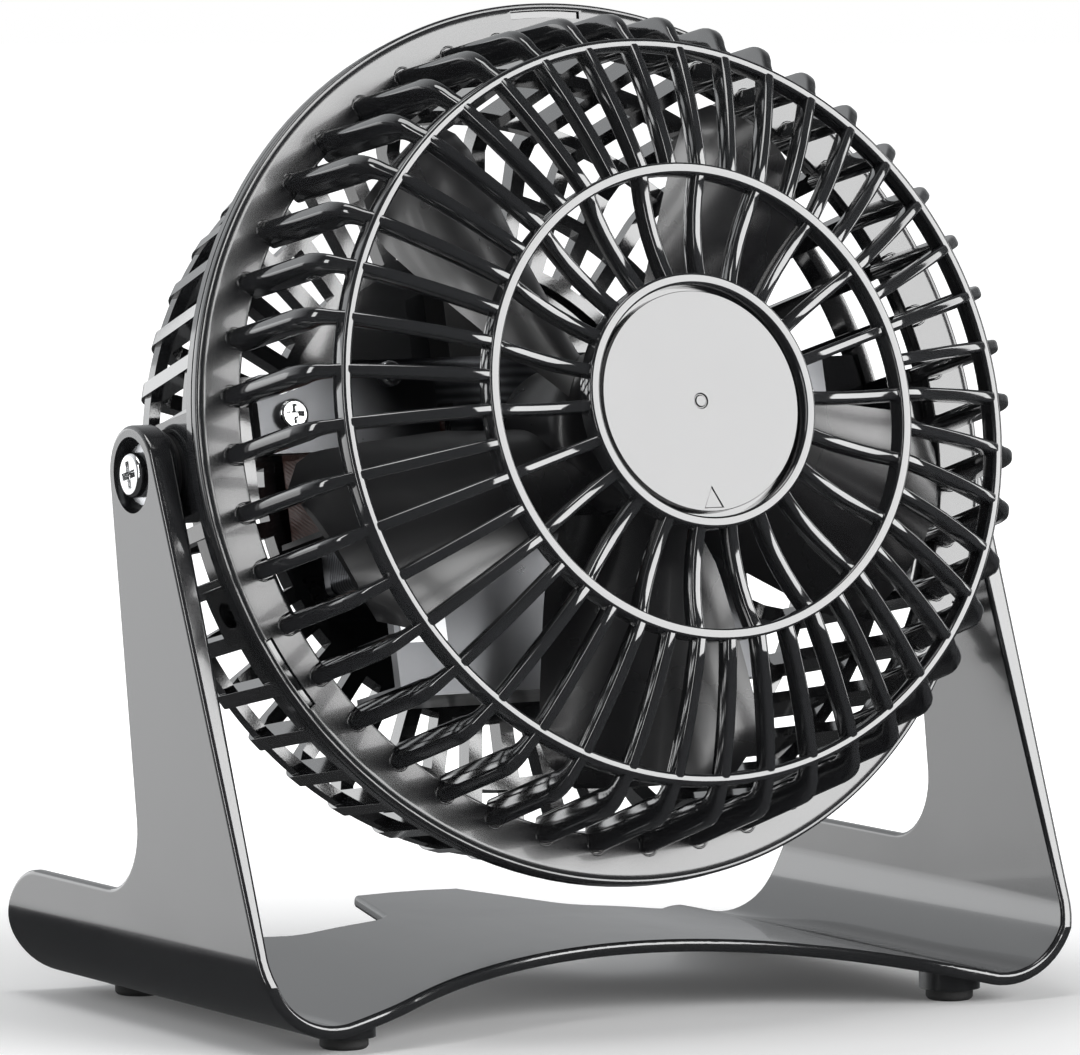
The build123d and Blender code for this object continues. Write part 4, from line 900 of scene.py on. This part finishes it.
class FAN_OT_impeller(FanPiece, bpy.types.Operator):
    """Moulds the impeller's hub and its twisted blades, and the nut that holds it"""

    bl_idname = "fan.impeller"
    bl_label = "Impeller"

    def execute(self, context):
        low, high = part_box("impeller")
        tip = (high.x - low.x) / 2
        shape = blade_mesh(tip)
        piece = link_mesh("blade", shape)
        apply_tree(
            piece, tree_of("copies", copies_tree), count=BLADE_COUNT,
            first_angle=math.radians(BLADE_TURN), material=FINISHES["blades"],
        )
        hub = turned("hub", [(r * MM, s * MM) for r, s in HUB_OUTLINE], 72, closed=False)
        hub.materials.append(FINISHES["blades"])
        mesh = in_head(join_meshes("impeller_moulding", [bake(piece), smooth(hub, 40.0)]))
        finish_piece(link_mesh(mesh.name, mesh), "impeller", "impeller_plastic", "impeller")
        nut = fair_copy("impeller_nut", "spinner_nut", bevel=0.2 * MM)
        finish_piece(nut, "impeller", "impeller_plastic", "impeller_nut", material=FINISHES["blades"])
        return {"FINISHED"}


def blade_mesh(tip):
    """One closed blade: wider, flatter and more rounded towards its tip."""
    rows, columns = 14, 16
    points, faces = [], []
    for face_side in (1.0, 0.0):
        for row in range(rows + 1):
            share = row / rows
            radius = BLADE_STATIONS[0][0] + (tip / MM - 0.3 - BLADE_STATIONS[0][0]) * share
            chord, pitch, camber = between(BLADE_STATIONS, radius)
            corner = max(0.0, (share - 0.82) / 0.18)
            chord *= 1.0 - 0.3 * corner**2.5
            for column in range(columns + 1):
                along = column / columns * 2.0 - 1.0
                rise = (camber + face_side * BLADE_THICKNESS) * (1.0 - along * along)
                tilt = math.radians(pitch)
                sideways = along * chord / 2 * math.cos(tilt) - rise * math.sin(tilt)
                forward = along * chord / 2 * math.sin(tilt) + rise * math.cos(tilt)
                turn = sideways / radius
                reach = radius * MM
                points.append((reach * math.cos(turn), reach * math.sin(turn), (BLADE_MIDDLE + forward) * MM))
    layer = (rows + 1) * (columns + 1)
    for face_side in (0, 1):
        for row in range(rows):
            for column in range(columns):
                a = face_side * layer + row * (columns + 1) + column
                faces.append((a, a + 1, a + columns + 2, a + columns + 1))
    for row in (0, rows):
        for column in range(columns):
            a = row * (columns + 1) + column
            faces.append((a, a + 1, a + 1 + layer, a + layer))
    return smooth(mesh_from("blade", points, faces), 50.0)


def between(stations, radius):
    """Blade chord, pitch and camber at a radius."""
    for low, high in zip(stations, stations[1:]):
        if radius <= high[0] or high is stations[-1]:
            share = (radius - low[0]) / (high[0] - low[0])
            return tuple(low[k] + (high[k] - low[k]) * share for k in (1, 2, 3))


class FAN_OT_switch(FanPiece, bpy.types.Operator):
    """Fits the rocker switch and the cord inlet at the back"""

    bl_idname = "fan.switch"
    bl_label = "Switch and inlet"

    def execute(self, context):
        housing = fair_copy("switch_housing", "switch_frame", bevel=0.25 * MM)
        finish_piece(housing, "head", "switch_plastic", "switch_housing", material=FINISHES["matt"])
        rocker = fair_copy("switch_rocker", "switch_key", bevel=0.3 * MM)
        finish_piece(rocker, "rocker", "rocker_plastic", "switch_rocker", material=FINISHES["rocker"])
        inlet = fair_copy("cord_inlet", "inlet_bush", bevel=0.3 * MM)
        finish_piece(inlet, "head", "switch_plastic", "cord_inlet", material=FINISHES["matt"])
        return {"FINISHED"}


class FAN_OT_stage(FanPiece, bpy.types.Operator):
    """Sets the camera, the floor, the backdrop light and the soft boxes"""

    bl_idname = "fan.stage"
    bl_label = "Studio"

    def execute(self, context):
        scene = context.scene
        scene.view_settings.view_transform = "Standard"
        azimuth, elevation = math.radians(-29.72), math.radians(4.77)
        level = math.cos(elevation)
        back = Vector((math.sin(azimuth) * level, -math.cos(azimuth) * level, math.sin(elevation)))
        target = Vector((-3.54 * MM, PIVOT.y, 101.36 * MM))
        data = bpy.data.cameras.new("camera")
        data.sensor_width = 36.0
        data.lens = 280.83
        data.shift_x = 0.00309
        data.shift_y = 0.00181
        data.clip_end = 20.0
        camera = bpy.data.objects.new("camera", data)
        camera.location = target + back * 1.80303
        camera.rotation_euler = back.to_track_quat("Z", "Y").to_euler()
        scene.collection.objects.link(camera)
        scene.camera = camera
        make_floor(scene)
        make_world(scene)
        for light in SOFT_BOXES:
            soft_box(scene, target, *light)
        return {"FINISHED"}


# name, direction from the fan, distance, width, height, watts
SOFT_BOXES = (
    ("front_right_box", (0.494, -0.801, 0.339), 1.6, 1.2, 1.0, 24.0),
    ("top_box", (-0.2, -0.1, 1.0), 1.5, 0.9, 0.6, 7.0),
    ("left_box", (-0.95, -0.3, 0.3), 1.5, 0.25, 1.2, 5.5),
    ("right_box", (0.95, -0.1, 0.25), 1.7, 0.25, 1.2, 3.5),
    ("rear_left_card", (-0.494, 0.865, -0.035), 0.55, 0.5, 0.3, 0.55),
)


def soft_box(scene, target, name, direction, distance, width, height, watts):
    """A rectangular light that faces the fan."""
    data = bpy.data.lights.new(name, "AREA")
    data.shape = "RECTANGLE"
    data.size = width
    data.size_y = height
    data.energy = watts
    box = bpy.data.objects.new(name, data)
    away = Vector(direction).normalized()
    box.location = target + away * distance
    box.rotation_euler = away.to_track_quat("Z", "Y").to_euler()
    box.visible_camera = False
    scene.collection.objects.link(box)
    return box


def make_floor(scene):
    """A wide pale floor, left out of the plastic's reflections."""
    body = bmesh.new()
    bmesh.ops.create_circle(body, cap_ends=True, segments=96, radius=8.0)
    mesh = bpy.data.meshes.new("floor")
    body.to_mesh(mesh)
    body.free()
    material, tree, shader, place = new_material("pale_floor")
    pale = shade_mix(tree, noise(tree, place, 3.0), (0.9, 0.9, 0.9), (0.92, 0.92, 0.92))
    tree.links.new(pale, shader.inputs["Base Color"])
    shader.inputs["Roughness"].default_value = 0.9
    shader.inputs["Specular IOR Level"].default_value = 0.0
    reach = add_node(tree, "ShaderNodeVectorMath", {0: place}, operation="LENGTH").outputs["Value"]
    tree.links.new(spread(tree, reach, 0.05, 1.0, 0.1, 0.42), shader.inputs["Emission Strength"])
    shader.inputs["Emission Color"].default_value = (1.0, 1.0, 1.0, 1.0)
    mesh.materials.append(material)
    floor = link_mesh("floor", mesh)
    floor.visible_glossy = False


def make_world(scene):
    """White behind the fan, and a dimmer room for the light that falls on it."""
    world = bpy.data.worlds.new("studio")
    world.use_nodes = True
    scene.world = world
    tree = world.node_tree
    tree.nodes.clear()
    seen = add_node(tree, "ShaderNodeLightPath").outputs["Is Camera Ray"]
    place = add_node(tree, "ShaderNodeTexCoord").outputs["Generated"]
    aim = add_node(tree, "ShaderNodeSeparateXYZ", {0: place}).outputs
    behind = spread(tree, aim["Y"], 0.0, 1.0, 0.1, 0.75)
    above = spread(tree, aim["Z"], 0.0, 1.0, -0.22, 0.04)
    leftward = spread(tree, aim["X"], 0.9, 0.3, -0.5, 0.4)
    glow = math_node(tree, "MULTIPLY", math_node(tree, "MULTIPLY", behind, above), leftward)
    power = math_node(tree, "MULTIPLY_ADD", glow, 1.2, 0.05)
    dim = {"Color": (0.96, 0.98, 1.0, 1.0), "Strength": power}
    bright = {"Color": (1.0, 1.0, 1.0, 1.0), "Strength": 1.0}
    room = add_node(tree, "ShaderNodeBackground", dim).outputs[0]
    white = add_node(tree, "ShaderNodeBackground", bright).outputs[0]
    both = add_node(tree, "ShaderNodeMixShader", {0: seen, 1: room, 2: white}).outputs[0]
    add_node(tree, "ShaderNodeOutputWorld", {"Surface": both})


class FAN_PT_panel(bpy.types.Panel):
    """Lists the fan's pieces and sizes"""

    bl_idname = "FAN_PT_panel"
    bl_label = "Desk fan"
    bl_space_type = "VIEW_3D"
    bl_region_type = "UI"
    bl_category = "Desk fan"

    def draw(self, context):
        for operator in PIECES:
            self.layout.operator(operator.bl_idname)
        for group in (context.scene.fan_cage, context.scene.fan_finishes):
            for name in group.__annotations__:
                self.layout.prop(group, name)


PIECES = (
    FAN_OT_stage, FAN_OT_stand, FAN_OT_pivots, FAN_OT_front_guard, FAN_OT_badge,
    FAN_OT_rear_guard, FAN_OT_motor, FAN_OT_impeller, FAN_OT_switch,
)
CLASSES = (CageSizes, FanFinishes, *PIECES, FAN_PT_panel)


def register():
    """Adds the fan's sizes, operators and panel to Blender."""
    for item in CLASSES:
        bpy.utils.register_class(item)
    bpy.types.Scene.fan_cage = PointerProperty(type=CageSizes)
    bpy.types.Scene.fan_finishes = PointerProperty(type=FanFinishes)


def unregister():
    """Takes them away again."""
    del bpy.types.Scene.fan_finishes
    del bpy.types.Scene.fan_cage
    for item in reversed(CLASSES):
        bpy.utils.unregister_class(item)


def main():
    """Builds every piece in order."""
    register()
    make_finishes(bpy.context.scene.fan_finishes)
    for operator in PIECES:
        family, name = operator.bl_idname.split(".")
        getattr(getattr(bpy.ops, family), name)()


if __name__ == "__main__":
    main()
